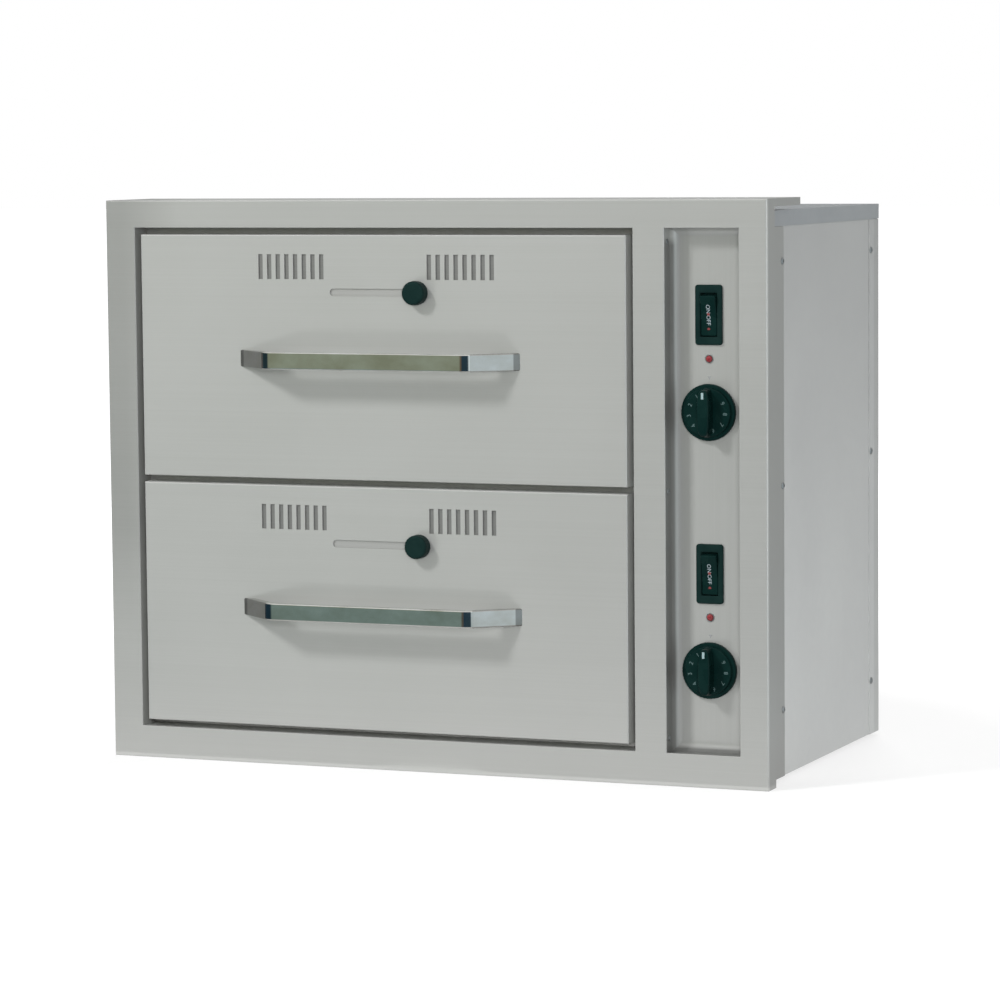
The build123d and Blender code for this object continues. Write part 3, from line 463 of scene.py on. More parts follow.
# Bands of the room that polished pieces mirror: start, end and colour, in degrees to the right of the front
ROOM_BANDS = (
    (-180.0, -180.0, (0.34, 0.35, 0.35)), (-128.0, -90.0, (0.135, 0.135, 0.135)),
    (-82.0, -48.0, (0.02, 0.04, 0.05)), (-38.0, -14.0, (0.265, 0.297, 0.225)),
    (-10.0, -6.0, (0.13, 0.10, 0.07)), (-3.0, 34.0, (0.025, 0.05, 0.07)),
    (44.0, 112.0, (0.87, 0.98, 1.03)), (128.0, 180.0, (0.34, 0.35, 0.35)),
)


def node_box(node: str) -> tuple[np.ndarray, np.ndarray]:
    """Lowest and highest corners of a CAD node, as arrays."""
    low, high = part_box(node)
    return np.array(low), np.array(high)


def front_middle(node: str, depth: float) -> np.ndarray:
    """Middle of a CAD node as the front shows it, at a depth in metres."""
    middle = sum(node_box(node)) / 2
    return np.array([middle[0], depth, middle[2]])


def panel_face() -> float:
    """Depth of the control panel's front face, in metres."""
    return node_box("control_panel")[1][1] - PANEL_SHEET


def dress(finishes: dict[str, Finish]) -> None:
    """Gives CAD nodes their finishes.

    Args:
        finishes: each node's finish.
    """
    for node, finish in finishes.items():
        slots = frame["nodes"][node].data.materials
        slots.clear()
        slots.append(finish.material())
        LOG.info("%s dressed in %s", node, finish.name)


def turned(profile: np.ndarray, sides: int) -> np.ndarray:
    """Surface of revolution: each (radius, height) of the profile carried round a full turn.

    A point is (radius cos a, radius sin a, height) for the angle a of its column.

    Args:
        profile: radius and height pairs, in metres.
        sides: columns round the turn.

    Returns:
        Points of shape (profile, sides, 3) as across, up and out.
    """
    angle = np.linspace(0.0, 2 * np.pi, sides, endpoint=False)
    radius = profile[:, :1]
    height = np.repeat(profile[:, 1:], sides, axis=1)
    return np.stack([radius * np.cos(angle), radius * np.sin(angle), height], axis=-1)


def cut_flutes(rows: np.ndarray, flutes: int, start: float, between: float) -> None:
    """Scales the radius of turned rows in place by one cosine per flute, from start to between and back."""
    angle = np.linspace(0.0, 2 * np.pi, rows.shape[1], endpoint=False)
    rows[..., :2] *= ((start + between) / 2 + (start - between) / 2 * np.cos(flutes * angle))[:, None]


def rounded_rings(half_width: np.ndarray, half_height: np.ndarray, radius: np.ndarray, arc: int,
                  run: int) -> np.ndarray:
    """Rounded rectangles, one per ring: quarter-turn corner arcs joined by straight runs.

    An arc point is its corner's centre plus radius (cos a, sin a), and a run point is a blend of the end
    of one arc and the start of the next.

    Args:
        half_width: half the width of each ring, in metres.
        half_height: half the height of each ring.
        radius: corner radius of each ring.
        arc: points on each corner arc.
        run: points inside each straight run.

    Returns:
        Points of shape (rings, 4 (arc + run), 2) as across and up.
    """
    corner = np.array([(1, 1), (-1, 1), (-1, -1), (1, -1)], float)
    half = np.stack([half_width, half_height], axis=-1)
    centre = corner[None] * (half - radius[:, None])[:, None]
    angle = np.linspace(0.0, np.pi / 2, arc)[None] + np.arange(4)[:, None] * np.pi / 2
    turn = np.stack([np.cos(angle), np.sin(angle)], axis=-1)
    arcs = centre[:, :, None] + radius[:, None, None, None] * turn[None]
    blend = np.linspace(0.0, 1.0, run + 2)[1:-1, None]
    runs = arcs[:, :, -1:] * (1 - blend) + np.roll(arcs[:, :, :1], -1, axis=1) * blend
    return np.concatenate([arcs, runs], axis=2).reshape(len(half), -1, 2)


def with_height(rings: np.ndarray, height: np.ndarray) -> np.ndarray:
    """Adds one height per ring, or one per point, to across and up points."""
    out = np.broadcast_to(height.reshape(len(rings), -1), rings.shape[:2])
    return np.concatenate([rings, out[..., None]], axis=-1)


def edge_roll(radius: float, steps: int) -> np.ndarray:
    """A rolled edge as (inset, drop) pairs: radius (1 - cos t, 1 - sin t) for t up to a quarter turn."""
    turn = np.linspace(0.0, np.pi / 2, steps)
    return np.stack([radius * (1 - np.cos(turn)), radius * (1 - np.sin(turn))], axis=-1)


def quads(rows: int, columns: int, closed: bool) -> np.ndarray:
    """Corners of the quads over a grid of rows and columns.

    Args:
        rows: rows of points.
        columns: columns of points.
        closed: whether the last column joins the first.

    Returns:
        Four point indices per quad.
    """
    index = np.arange(rows * columns).reshape(rows, columns)
    if closed:
        index = np.concatenate([index, index[:, :1]], axis=1)
    corners = (index[:-1, :-1], index[:-1, 1:], index[1:, 1:], index[1:, :-1])
    return np.stack(corners, axis=-1).reshape(-1, 4)


def mesh_points(mesh: bpy.types.Mesh) -> np.ndarray:
    """Places of a mesh's vertices, one row each.

    Args:
        mesh: the mesh.

    Returns:
        Points of shape (vertices, 3).
    """
    points = np.empty(len(mesh.vertices) * 3)
    mesh.vertices.foreach_get("co", points)
    return points.reshape(-1, 3)


def add_object(name: str, data: bpy.types.ID) -> bpy.types.Object:
    """Puts a mesh, lamp or camera into the scene.

    Args:
        name: the object's name.
        data: what it shows.

    Returns:
        The object.
    """
    thing = bpy.data.objects.new(name, data)
    bpy.context.scene.collection.objects.link(thing)
    return thing


@dataclass
class Patchwork:
    """Grids of points and flat letters gathered into one mesh, then set on a body as one piece."""

    name: str
    points: list[np.ndarray] = field(default_factory=list)
    faces: list[list[int]] = field(default_factory=list)
    finishes: list[Finish] = field(default_factory=list)
    face_finish: list[int] = field(default_factory=list)
    count: int = 0

    def add_faces(self, points: np.ndarray, faces: list[list[int]], finish: Finish) -> None:
        """Adds points and the faces over them, in one finish.

        Args:
            points: the points, in metres.
            faces: corner indices of each face in the whole mesh.
            finish: the faces' finish.
        """
        if finish not in self.finishes:
            self.finishes.append(finish)
        self.points.append(points.reshape(-1, 3))
        self.faces += faces
        self.face_finish += [self.finishes.index(finish)] * len(faces)
        self.count += points.size // 3

    def add_grid(self, grid: np.ndarray, finish: Finish, closed: bool = True) -> None:
        """Adds quads over a grid of points, joined round its columns if closed."""
        faces = quads(*grid.shape[:2], closed) + self.count
        self.add_faces(grid, faces.tolist(), finish)

    def add_slab(self, outline: np.ndarray, height: float, finish: Finish, at: np.ndarray) -> None:
        """Adds a thin printed patch that looks to the front: an outline as a flat prism.

        Args:
            outline: across and up corners, in metres.
            height: out place of the printed face.
            finish: the ink.
            at: origin in the row frame.
        """
        sides = with_height(np.repeat(outline[None], 2, axis=0), np.array([height - INK, height + INK]))
        caps = np.broadcast_to(sides.mean(axis=1, keepdims=True), sides.shape)
        grid = np.concatenate([caps[:1], sides, caps[1:]])
        self.add_grid(Facing.FRONT.place(grid, at), finish)

    def add_letters(self, text: str, height: float, finish: Finish, facing: Facing, at: np.ndarray,
                    turn: float) -> None:
        """Adds plain letters as a thin solid, turned about the way that they face.

        Args:
            text: the letters.
            height: height of a capital, in metres.
            finish: the ink.
            facing: the way that the letters look.
            at: their centre in the row frame.
            turn: turn about the out axis, in radians.
        """
        curve = bpy.data.curves.new(text, "FONT")
        curve.body = text
        curve.size = height * LETTER_RATIO
        curve.resolution_u = LETTER_STEPS
        curve.align_x = "CENTER"
        curve.align_y = "CENTER"
        curve.extrude = INK / 2
        holder = bpy.data.objects.new(text, curve)
        mesh = bpy.data.meshes.new_from_object(holder)
        local = mesh_points(mesh)
        local[:, :2] -= (local[:, :2].min(0) + local[:, :2].max(0)) / 2
        cosine, sine = math.cos(turn), math.sin(turn)
        spin = np.array([(cosine, sine, 0.0), (-sine, cosine, 0.0), (0.0, 0.0, 1.0)])
        faces = [[self.count + corner for corner in face.vertices] for face in mesh.polygons]
        self.add_faces(facing.place(local @ spin, at), faces, finish)
        bpy.data.objects.remove(holder)
        bpy.data.meshes.remove(mesh)
        bpy.data.curves.remove(curve)

    def set_on(self, body: str, slot: str, *replaced: str, sharp: float = 40.0,
               sheet: float = 0.0, offset: float = 0.0) -> None:
        """Makes the piece: merged, outward, smooth but for sharp edges, riding on its body.

        Args:
            body: the body that the piece rides on.
            slot: the record's material slot; not used.
            *replaced: CAD nodes that the piece stands for.
            sharp: edges that turn by more than this many degrees stay sharp.
            sheet: thickness that an open sheet gets, in metres, or zero for a closed piece.
            offset: side of the surface that the thickness is on, from -1 for behind it to 1.
        """
        mesh = bpy.data.meshes.new(self.name)
        mesh.from_pydata(np.concatenate(self.points).tolist(), [], self.faces)
        for finish in self.finishes:
            mesh.materials.append(finish.material())
        mesh.polygons.foreach_set("material_index", self.face_finish)
        shell = bmesh.new()
        shell.from_mesh(mesh)
        bmesh.ops.remove_doubles(shell, verts=shell.verts, dist=MERGE)
        bmesh.ops.recalc_face_normals(shell, faces=shell.faces)
        shell.to_mesh(mesh)
        shell.free()
        mesh.polygons.foreach_set("use_smooth", [True] * len(mesh.polygons))
        mesh.set_sharp_from_angle(angle=math.radians(sharp))
        piece = add_object(self.name, mesh)
        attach(piece, body)
        if replaced:
            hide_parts(*replaced)
        if sheet:
            wall = piece.modifiers.new("sheet", "SOLIDIFY")
            wall.thickness = sheet
            wall.offset = offset
        LOG.info("%s rides on %s with %d faces", self.name, body, len(mesh.polygons))


def solid_boxes(node: str, gap: float) -> list[tuple[np.ndarray, np.ndarray]]:
    """Boxes of the separate solids of a CAD node, told apart by gaps along each axis.

    Args:
        node: the CAD node.
        gap: least clear distance between neighbours, in metres.

    Returns:
        Lowest and highest corner of each solid.
    """
    place = mesh_points(frame["nodes"][node].data)
    order = np.argsort(place, axis=0)
    steps = np.diff(np.take_along_axis(place, order, axis=0), axis=0) > gap
    ranks = np.vstack([np.zeros((1, 3), int), np.cumsum(steps, axis=0)])
    label = np.empty_like(ranks)
    np.put_along_axis(label, order, ranks, axis=0)
    keys, owner = np.unique(label, axis=0, return_inverse=True)
    owner = owner.reshape(-1)
    return [(place[owner == k].min(0), place[owner == k].max(0)) for k in range(len(keys))]


@dataclass(frozen=True)
class ScrewHead:
    """Domed screw head with a cross recess, whose sizes are shares of the radius and the height."""

    radius: float
    height: float
    dome: float = 0.96
    bar_half: float = 0.13
    bar_reach: float = 0.56
    recess: float = 0.45
    inner_rings: Pair = (0.0, 0.62)
    outer_rings: Pair = (0.7, 1.0)
    sides: int = 48

    def grid(self) -> np.ndarray:
        """Surface of the head.

        Height falls from the middle as a flattened circle, sqrt(1 - dome (r / radius)^2), and drops by the
        recess where a point lies inside either bar of the cross.

        Returns:
            Grid of across, up and out points.
        """
        ring = np.concatenate([np.linspace(*self.inner_rings, num=9), np.linspace(*self.outer_rings, num=5)])
        grid = turned(np.stack([ring * self.radius, np.zeros_like(ring)], axis=-1), self.sides)
        across, up = np.abs(grid[..., 0]) / self.radius, np.abs(grid[..., 1]) / self.radius
        inside = (np.minimum(across, up) < self.bar_half) & (np.maximum(across, up) < self.bar_reach)
        dome = np.sqrt(1 - self.dome * np.minimum(across ** 2 + up ** 2, 1.0))
        grid[..., 2] = self.height * (dome - self.recess * inside)
        foot = grid[-1:] * np.array([1.0, 1.0, 0.0])
        return np.concatenate([grid, foot])


@dataclass
class Casing:
    """Face frame, sheet casing and their fasteners."""

    panel_flange: float = 7.5 * MM
    panel_bend: float = 9.0 * MM
    # Painted shade on the walls of the control recess
    wall_gain: float = 0.48
    wall_fade: Pair = (0.3 * MM, 3.0 * MM)
    # Painted shade on the frame's returns and collars, and along its upper left edge
    return_gain: float = 0.72
    return_blend: float = 1.0 * MM
    left_gain: float = 0.775
    left_fade: Pair = (85.0 * MM, 20.0 * MM)
    left_rise: Pair = (130.0 * MM, 250.0 * MM)
    edge_depth: float = 2.5 * MM
    # Painted shade on the casing: towards its top and along its rear edge
    upper_gain: float = 0.68
    rear_gain: float = 0.88
    rear_run: float = 17.0 * MM
    screw_gap: float = 20.0 * MM
    screw_height: float = 1.8 * MM
    recess_screw: ScrewHead = ScrewHead(3.0 * MM, 1.4 * MM)
    recess_screw_inset: float = 14.0 * MM
    recess_screw_count: int = 3

    def build(self) -> None:
        """Dresses the sheets and the inlet, and makes the screws."""
        sheets = ("base_panel", "left_side_panel", "right_side_panel", "back_panel")
        dress({"face_frame": self.frame_finish(), "control_panel": self.panel_finish(),
               "top_panel": LID_STEEL, **dict.fromkeys(sheets, self.casing_finish()), "cable_inlet": INLET,
               "nut_strips": ZINC})
        self.build_side_screws()
        self.build_recess_screws()

    def frame_finish(self) -> Finish:
        """Satin steel with painted shade on the outer returns and collars, and along its upper left edge.

        Returns:
            The frame's finish.
        """
        low = node_box("face_frame")[0]
        body = node_box("right_side_panel")[1][0]
        finish = FRAME_STEEL
        for side in (1.0, -1.0):
            finish = finish.zoned(
                self.return_gain, (1, low[1] + self.edge_depth, low[1] + 2 * self.edge_depth),
                (0, side * (body - self.return_blend), side * body))
        outer, inner = (low[0] + fade for fade in self.left_fade)
        return finish.zoned(self.left_gain, (0, outer, inner), (2, *self.left_rise))

    def panel_finish(self) -> Finish:
        """Satin steel with painted shade from the panel's face to the walls of its tray, but for the top
        wall.
        """
        face, top = panel_face(), node_box("control_panel")[1][2] - self.panel_flange
        return PANEL_STEEL.zoned(self.wall_gain, (1, *(face - fade for fade in self.wall_fade)),
                                 (2, top - self.panel_bend, top - 2 * self.panel_bend))

    def casing_finish(self) -> Finish:
        """Coated sheet with painted shade towards the top and along its rear edge.

        Returns:
            The casing's finish.
        """
        low, high = node_box("right_side_panel")
        strip = high[1] - self.rear_run
        shaded_top = CASING_STEEL.zoned(self.upper_gain, (2, low[2], high[2]))
        return shaded_top.zoned(self.rear_gain, (1, strip, strip + self.edge_depth))

    def build_side_screws(self) -> None:
        """Raised-head screws with cross recesses where the CAD screws stand."""
        work = Patchwork("side_screw_heads")
        for low, high in solid_boxes("side_screws", self.screw_gap):
            facing = Facing.RIGHT if high[0] > 0 else Facing.LEFT
            tip = high[0] if facing is Facing.RIGHT else low[0]
            at = (low + high) / 2
            at[0] = tip - math.copysign(self.screw_height, tip)
            head = ScrewHead((high[1] - low[1]) / 2, self.screw_height)
            work.add_grid(facing.place(head.grid(), at), SCREW_STEEL)
        work.set_on("cabinet", "screw_steel", "side_screws", sharp=30.0)

    def build_recess_screws(self) -> None:
        """Small screws along both walls of the control recess."""
        low, high = node_box("control_panel")
        work = Patchwork("recess_screw_heads")
        walls = ((low[0] + self.panel_flange, Facing.RIGHT), (high[0] - self.panel_flange, Facing.LEFT))
        inset = self.panel_flange + self.recess_screw_inset
        depth = (low[1] + high[1] - self.panel_bend) / 2
        for wall, facing in walls:
            for height in np.linspace(low[2] + inset, high[2] - inset, self.recess_screw_count):
                at = np.array([wall, depth, height])
                work.add_grid(facing.place(self.recess_screw.grid(), at), SCREW_STEEL)
        work.set_on("cabinet", "screw_steel", sharp=30.0)


@dataclass
class HeatedBay:
    """Liner, divider, elements and wool behind the drawers."""

    lip_height: float = 12.0 * MM
    lip_seat: float = 10.0 * MM
    lip_bend: float = 2.0 * MM
    lip_sheet: float = 1.0 * MM

    def build(self) -> None:
        """Dresses the bay's sheets, elements and wool, and makes the lip on its floor."""
        sheets = ("liner_left", "liner_right", "liner_floor", "liner_top", "liner_back", "bay_divider")
        dress({**dict.fromkeys(sheets, LINER_STEEL), "insulation": WOOL, "heat_shield": ZINC,
               "element_clips": ZINC})
        for level in LEVELS:
            dress({f"{level}_element": SHEATH, f"{level}_thermostat": ZINC})
        self.build_floor_lip()

    def build_floor_lip(self) -> None:
        """Strip with a turned-up front edge on the bay's floor, behind the lower front.

        Its profile, a run along the floor, a quarter circle and a run upwards, is carried across the bay.
        """
        low, high = node_box("bay_divider")
        front, floor = low[1] + self.lip_sheet / 2, node_box("liner_floor")[1][2] + self.lip_sheet / 2
        roll = edge_roll(self.lip_bend, steps=6)[::-1]
        profile = np.concatenate([[(front + self.lip_seat, floor)], roll + (front, floor),
                                  [(front, floor + self.lip_height)]])
        across = np.linspace(low[0], high[0], num=9)
        grid = np.empty((len(profile), len(across), 3))
        grid[..., 0] = across
        grid[..., 1:] = profile[:, None]
        work = Patchwork("bay_floor_lip")
        work.add_grid(grid, LIP_STEEL_PAINTED_LIGHT, closed=False)
        work.set_on("cabinet", "liner_steel", sharp=50.0, sheet=self.lip_sheet)


@dataclass
class Drawer:
    """One drawer: front, handle, vent shutter, slides, carriage and pan."""

    level: str
    # Painted shade on the shutter's flags, seen through the vents
    shutter_gain: float = 0.52
    zone_blend: float = 1.0 * MM
    # Painted light on the front's edges where they show in the gaps
    edge_gain: float = 1.45
    edge_depth: float = 1.5 * MM
    # Painted dark reflections on the handle's legs, and painted shade at their feet
    leg_gains: Pair = (0.48, 0.62)
    leg_run: float = 42.0 * MM
    foot_gain: float = 0.5
    foot_run: float = 6.0 * MM
    knob_neck: float = 3.6 * MM
    knob_sink: float = 1.6 * MM
    knob_gap: float = 0.5 * MM
    knob_bevel: float = 0.4 * MM
    knob_roll: float = 3.0 * MM
    knob_dish: float = 0.7 * MM
    knob_sides: int = 96
    knob_flutes: int = 24
    knob_flute: float = 0.982
    pan_rim: float = 7.0 * MM
    pan_edge: float = 0.3 * MM
    pan_land: float = 2.0 * MM
    pan_draft_degrees: float = 5.0
    pan_sheet: float = 1.0 * MM
    pan_lip_radius: float = 3.0 * MM
    pan_foot_radius: float = 13.0 * MM
    pan_corner: float = 30.0 * MM
    pan_corner_growth: float = 8.0 * MM
    pan_corner_least: float = 8.0 * MM

    def build(self) -> None:
        """Dresses the drawer's CAD nodes, and makes its slider knob and its pan."""
        seam = node_box(f"{self.level}_slider_knob")[1][2]
        # The flags above the slider knob's top are darker: painted shade seen through the vents
        shutter = replace(INNER_STEEL, name=f"{self.level}_shutter_sheet_painted_shade").zoned(
            self.shutter_gain, (2, seam, seam + self.zone_blend))
        zinc = ("handle_nuts", "vent_guides", "fixed_slides", "mid_slides", "inner_slides")
        finishes = {"front_skin": self.front_finish(), "front_liner": INNER_STEEL, "front_pad": WOOL,
                    "handle": self.handle_finish(), "shutter": shutter, "carriage": INNER_STEEL,
                    **dict.fromkeys(zinc, ZINC)}
        dress({f"{self.level}_{part}": finish for part, finish in finishes.items()})
        self.build_slider_knob()
        self.build_pan()

    def front_finish(self) -> Finish:
        """Satin steel with painted light on the edges round the front, where they show in the gaps."""
        face = node_box(f"{self.level}_front_skin")[0][1]
        return FRONT_STEEL.zoned(self.edge_gain, (1, face + self.edge_depth, face + 2 * self.edge_depth))

    def handle_finish(self) -> Finish:
        """Chrome with painted dark reflections on the legs, most on the left ones, and painted shade at
        their feet.

        Returns:
            The handle's finish.
        """
        low, high = node_box(f"{self.level}_handle")
        finish = CHROME
        for end, inward, leg_reflection_gain in zip((low[0], high[0]), (1.0, -1.0), self.leg_gains):
            for gain, run in ((leg_reflection_gain, self.leg_run), (self.foot_gain, self.foot_run)):
                finish = finish.zoned(gain, (0, end + inward * run, end + inward * (run - self.zone_blend)))
        return finish

    def build_slider_knob(self) -> None:
        """Turned slider knob: neck, fluted side, rolled front edge and a dished face.

        The dish falls from its rim as the square of the distance from the middle.
        """
        low, high = node_box(f"{self.level}_slider_knob")
        front = node_box(f"{self.level}_front_skin")[0][1]
        radius, height = (high[0] - low[0]) / 2, front - low[1]
        neck = [(0.0, -self.knob_sink), (self.knob_neck, -self.knob_sink), (self.knob_neck, self.knob_gap)]
        skirt = [(radius - self.knob_bevel, self.knob_gap), (radius, self.knob_gap + self.knob_bevel)]
        edge = (radius, height) - edge_roll(self.knob_roll, steps=7)
        dish = np.linspace(1.0, 0.0, num=7)[1:]
        face = np.stack([dish * edge[-1, 0], height - self.knob_dish * (1 - dish ** 2)], axis=-1)
        grid = turned(np.concatenate([neck, skirt, edge, face]), self.knob_sides)
        side = slice(len(neck), len(neck) + len(skirt) + len(edge) // 2)
        cut_flutes(grid[side], self.knob_flutes, self.knob_flute, 1.0)
        work = Patchwork(f"{self.level}_slider_grip")
        at = front_middle(f"{self.level}_slider_knob", front)
        work.add_grid(Facing.FRONT.place(grid, at), BLACK)
        work.set_on(f"{self.level}_vent", "black_plastic", f"{self.level}_slider_knob")

    def build_pan(self) -> None:
        """Deep-drawn pan: flat rim, rolled lip, drafted walls, rounded foot and flat floor.

        Rings of rounded rectangles shrink by an inset and fall by a depth: along a quarter circle at the
        lip, by the draft down the wall, along a quarter circle at the foot, then by scale to the middle.
        The corner radius grows with the inset over the rim, and then shrinks with it.
        """
        low, high = node_box(f"{self.level}_pan")
        half = (high - low) / 2
        depth = high[2] - low[2] - self.pan_sheet
        edge = np.array([(0.0, self.pan_edge), (self.pan_edge, 0.0), (self.pan_land, 0.0)])
        roll = edge_roll(self.pan_lip_radius, steps=6)[::-1] * (-1, 1)
        lip = (self.pan_rim + self.pan_lip_radius, 0.0) + roll
        fall = np.linspace(0.0, 1.0, num=6)[1:] * (depth - self.pan_foot_radius - self.pan_lip_radius)
        draft = math.tan(math.radians(self.pan_draft_degrees))
        wall = lip[-1] + np.stack([fall * draft, fall], axis=-1)
        roll = edge_roll(self.pan_foot_radius, steps=7)[1:] * (1, -1)
        foot = wall[-1] + (0.0, self.pan_foot_radius) + roll
        inset, drop = np.concatenate([edge, lip, wall, foot]).T
        growth = np.minimum(inset, self.pan_corner_growth)
        radius = np.maximum(self.pan_corner + 2 * growth - inset, self.pan_corner_least)
        bowl = with_height(rounded_rings(half[0] - inset, half[1] - inset, radius, arc=10, run=8), -drop)
        shrink = np.linspace(1.0, 0.0, num=5)[1:, None, None]
        floor = bowl[-1:] * np.concatenate([shrink, shrink, np.ones_like(shrink)], axis=-1)
        at = np.array([*((low + high) / 2)[:2], high[2]])
        work = Patchwork(f"{self.level}_pan_shell")
        work.add_grid(Facing.UP.place(np.concatenate([bowl, floor]), at), PAN_STEEL)
        work.set_on(f"{self.level}_drawer", "pan_steel", f"{self.level}_pan", sharp=50.0,
                    sheet=self.pan_sheet, offset=-1.0)


@dataclass
class Dial:
    """One thermostat's dial on its spindle, with its marks and the index mark over it."""

    level: str
    sides: int = 96
    roll: float = 1.5 * MM
    bevel: float = 0.4 * MM
    flutes: int = 48
    flute: float = 0.992
    skirt: float = 5.0 * MM
    skirt_crown: float = 0.1 * MM
    shoulder_inset: float = 4.0 * MM
    shoulder: float = 8.0 * MM
    shoulder_crown: float = 0.2 * MM
    groove: float = 0.3 * MM
    grip_sides: int = 72
    grip_half: Pair = (6.5 * MM, 24.0 * MM)
    grip_power: float = 3.2
    grip_roll: float = 2.2 * MM
    grip_flare: Triple = (1.06, 1.0, 0.99)
    grip_edge: float = 0.97
    grip_crown: float = 0.35
    grip_sink: float = 0.5 * MM
    grip_foot: float = 1.5 * MM
    grip_waist: float = 0.6
    numerals: int = 9
    numeral_height: float = 4.4 * MM
    numeral_radius: float = 19.5 * MM
    sweep_degrees: float = 300.0
    pointer_half: float = 1.3 * MM
    pointer_run: Pair = (14.5 * MM, 21.0 * MM)
    index_half: float = 1.9 * MM
    index_run: Pair = (-2.2 * MM, 1.4 * MM)
    index_gap: float = 6.0 * MM

    def build(self) -> None:
        """Dresses the spindle, and makes the dial, its marks and the index mark."""
        dress({f"{self.level}_spindle": ZINC})
        self.build_knob()
        self.build_marks()
        self.build_index()

    def seat(self) -> tuple[np.ndarray, float, float]:
        """Origin of the dial on the panel in the row frame, its radius and its height, in metres."""
        low, high = node_box(f"{self.level}_knob")
        return front_middle(f"{self.level}_knob", high[1]), (high[0] - low[0]) / 2, high[1] - low[1]

    def build_knob(self) -> None:
        """Turned dial with a fluted skirt and a rolled shoulder, and a bar grip on it.

        The grip is superellipse rings, |x / a|^n + |y / b|^n = 1, drawn in towards a crowned top.
        """
        at, radius, height = self.seat()
        inner, step = radius - self.shoulder_inset, self.shoulder
        roll = edge_roll(self.roll, steps=6)
        body = turned(np.concatenate([
            [(0.0, 0.0), (radius - self.bevel, 0.0), (radius, self.bevel)], (radius, self.skirt) - roll,
            [(inner + self.groove, self.skirt + self.skirt_crown)], (inner, step) - roll,
            [(0.0, step + self.shoulder_crown)],
        ]), self.sides)
        cut_flutes(body[1:2 + len(roll)], self.flutes, self.flute, 1.0)
        turn = np.linspace(0.0, 2 * np.pi, self.grip_sides, endpoint=False)
        circle = np.stack([np.cos(turn), np.sin(turn)], axis=-1)
        outline = np.sign(circle) * np.abs(circle) ** (2 / self.grip_power) * self.grip_half
        roll = edge_roll(self.grip_roll, steps=7)
        scale = np.concatenate([self.grip_flare, self.grip_edge - roll[:, 0] / self.grip_half[0],
                                [self.grip_crown, 0.0]])
        rise = np.concatenate([[step - self.grip_sink, step + self.grip_foot, height * self.grip_waist],
                               height - roll[:, 1], [height, height]])
        grip = with_height(outline[None] * scale[:, None, None], rise)
        work = Patchwork(f"{self.level}_dial_knob")
        for grid in (body, grip):
            work.add_grid(Facing.FRONT.place(grid, at), GLOSS_BLACK)
        work.set_on(f"{self.level}_dial", "black_plastic", f"{self.level}_knob")

    def build_marks(self) -> None:
        """Numbers round the dial's shoulder, and a pointer line on its grip."""
        at, _, height = self.seat()
        marks = Patchwork(f"{self.level}_dial_marks")
        for number in range(1, self.numerals + 1):
            turn = math.radians(self.sweep_degrees * number / self.numerals)
            spot = np.array([-math.sin(turn), math.cos(turn), 0.0]) * self.numeral_radius
            spot[2] = self.shoulder + self.shoulder_crown
            marks.add_letters(str(number), self.numeral_height, DIAL_INK, Facing.FRONT,
                              Facing.FRONT.place(spot, at), turn)
        half, (near, far) = self.pointer_half, self.pointer_run
        pointer = np.array([(-half, near), (half, near), (half, far), (-half, far)])
        marks.add_slab(pointer, height, POINTER_INK, at)
        marks.set_on(f"{self.level}_dial", "black_plastic")

    def build_index(self) -> None:
        """Small printed index mark on the panel over the dial."""
        at = front_middle(f"{self.level}_knob", panel_face())
        at[2] = node_box(f"{self.level}_knob")[1][2] + self.index_gap
        half, (tip, top) = self.index_half, self.index_run
        work = Patchwork(f"{self.level}_index_mark")
        work.add_slab(np.array([(0.0, tip), (half, top), (-half, top)]), INK, GREY_INK, at)
        work.set_on("cabinet", "black_plastic")


@dataclass
class PilotLight:
    """One pilot light: a jewel lens in a thin plated flange."""

    level: str
    sides: int = 72
    flange: float = 0.9 * MM
    rise: float = 0.7 * MM
    bevel: Pair = (0.3, 0.6)
    dome: float = 2.3 * MM
    flutes: int = 12
    flute: float = 0.93

    def build(self) -> None:
        """Dome whose radius ripples round its prism flutes, in its flange.

        The dome's height is a quarter circle, and the ripple is one cosine per flute.
        """
        node, rise = f"{self.level}_pilot_light", self.rise
        low, high = node_box(node)
        at = front_middle(node, panel_face())
        radius = (high[0] - low[0]) / 2
        lens = radius - self.flange
        inward, upward = (share * rise for share in self.bevel)
        flange = np.array([(0.0, -rise), (radius, -rise), (radius, upward), (radius - inward, rise),
                           (lens, rise)])
        sweep = np.linspace(0.0, np.pi / 2, num=9)
        dome = np.stack([lens * np.cos(sweep), rise + self.dome * np.sin(sweep)], axis=-1)
        jewel = turned(np.concatenate([[(lens, -rise)], dome]), self.sides)
        cut_flutes(jewel, self.flutes, 1.0, self.flute)
        work = Patchwork(f"{self.level}_pilot_lens")
        for grid, finish in ((turned(flange, self.sides), ZINC), (jewel, LENS)):
            work.add_grid(Facing.FRONT.place(grid, at), finish)
        work.set_on("cabinet", "pilot_lens", node)


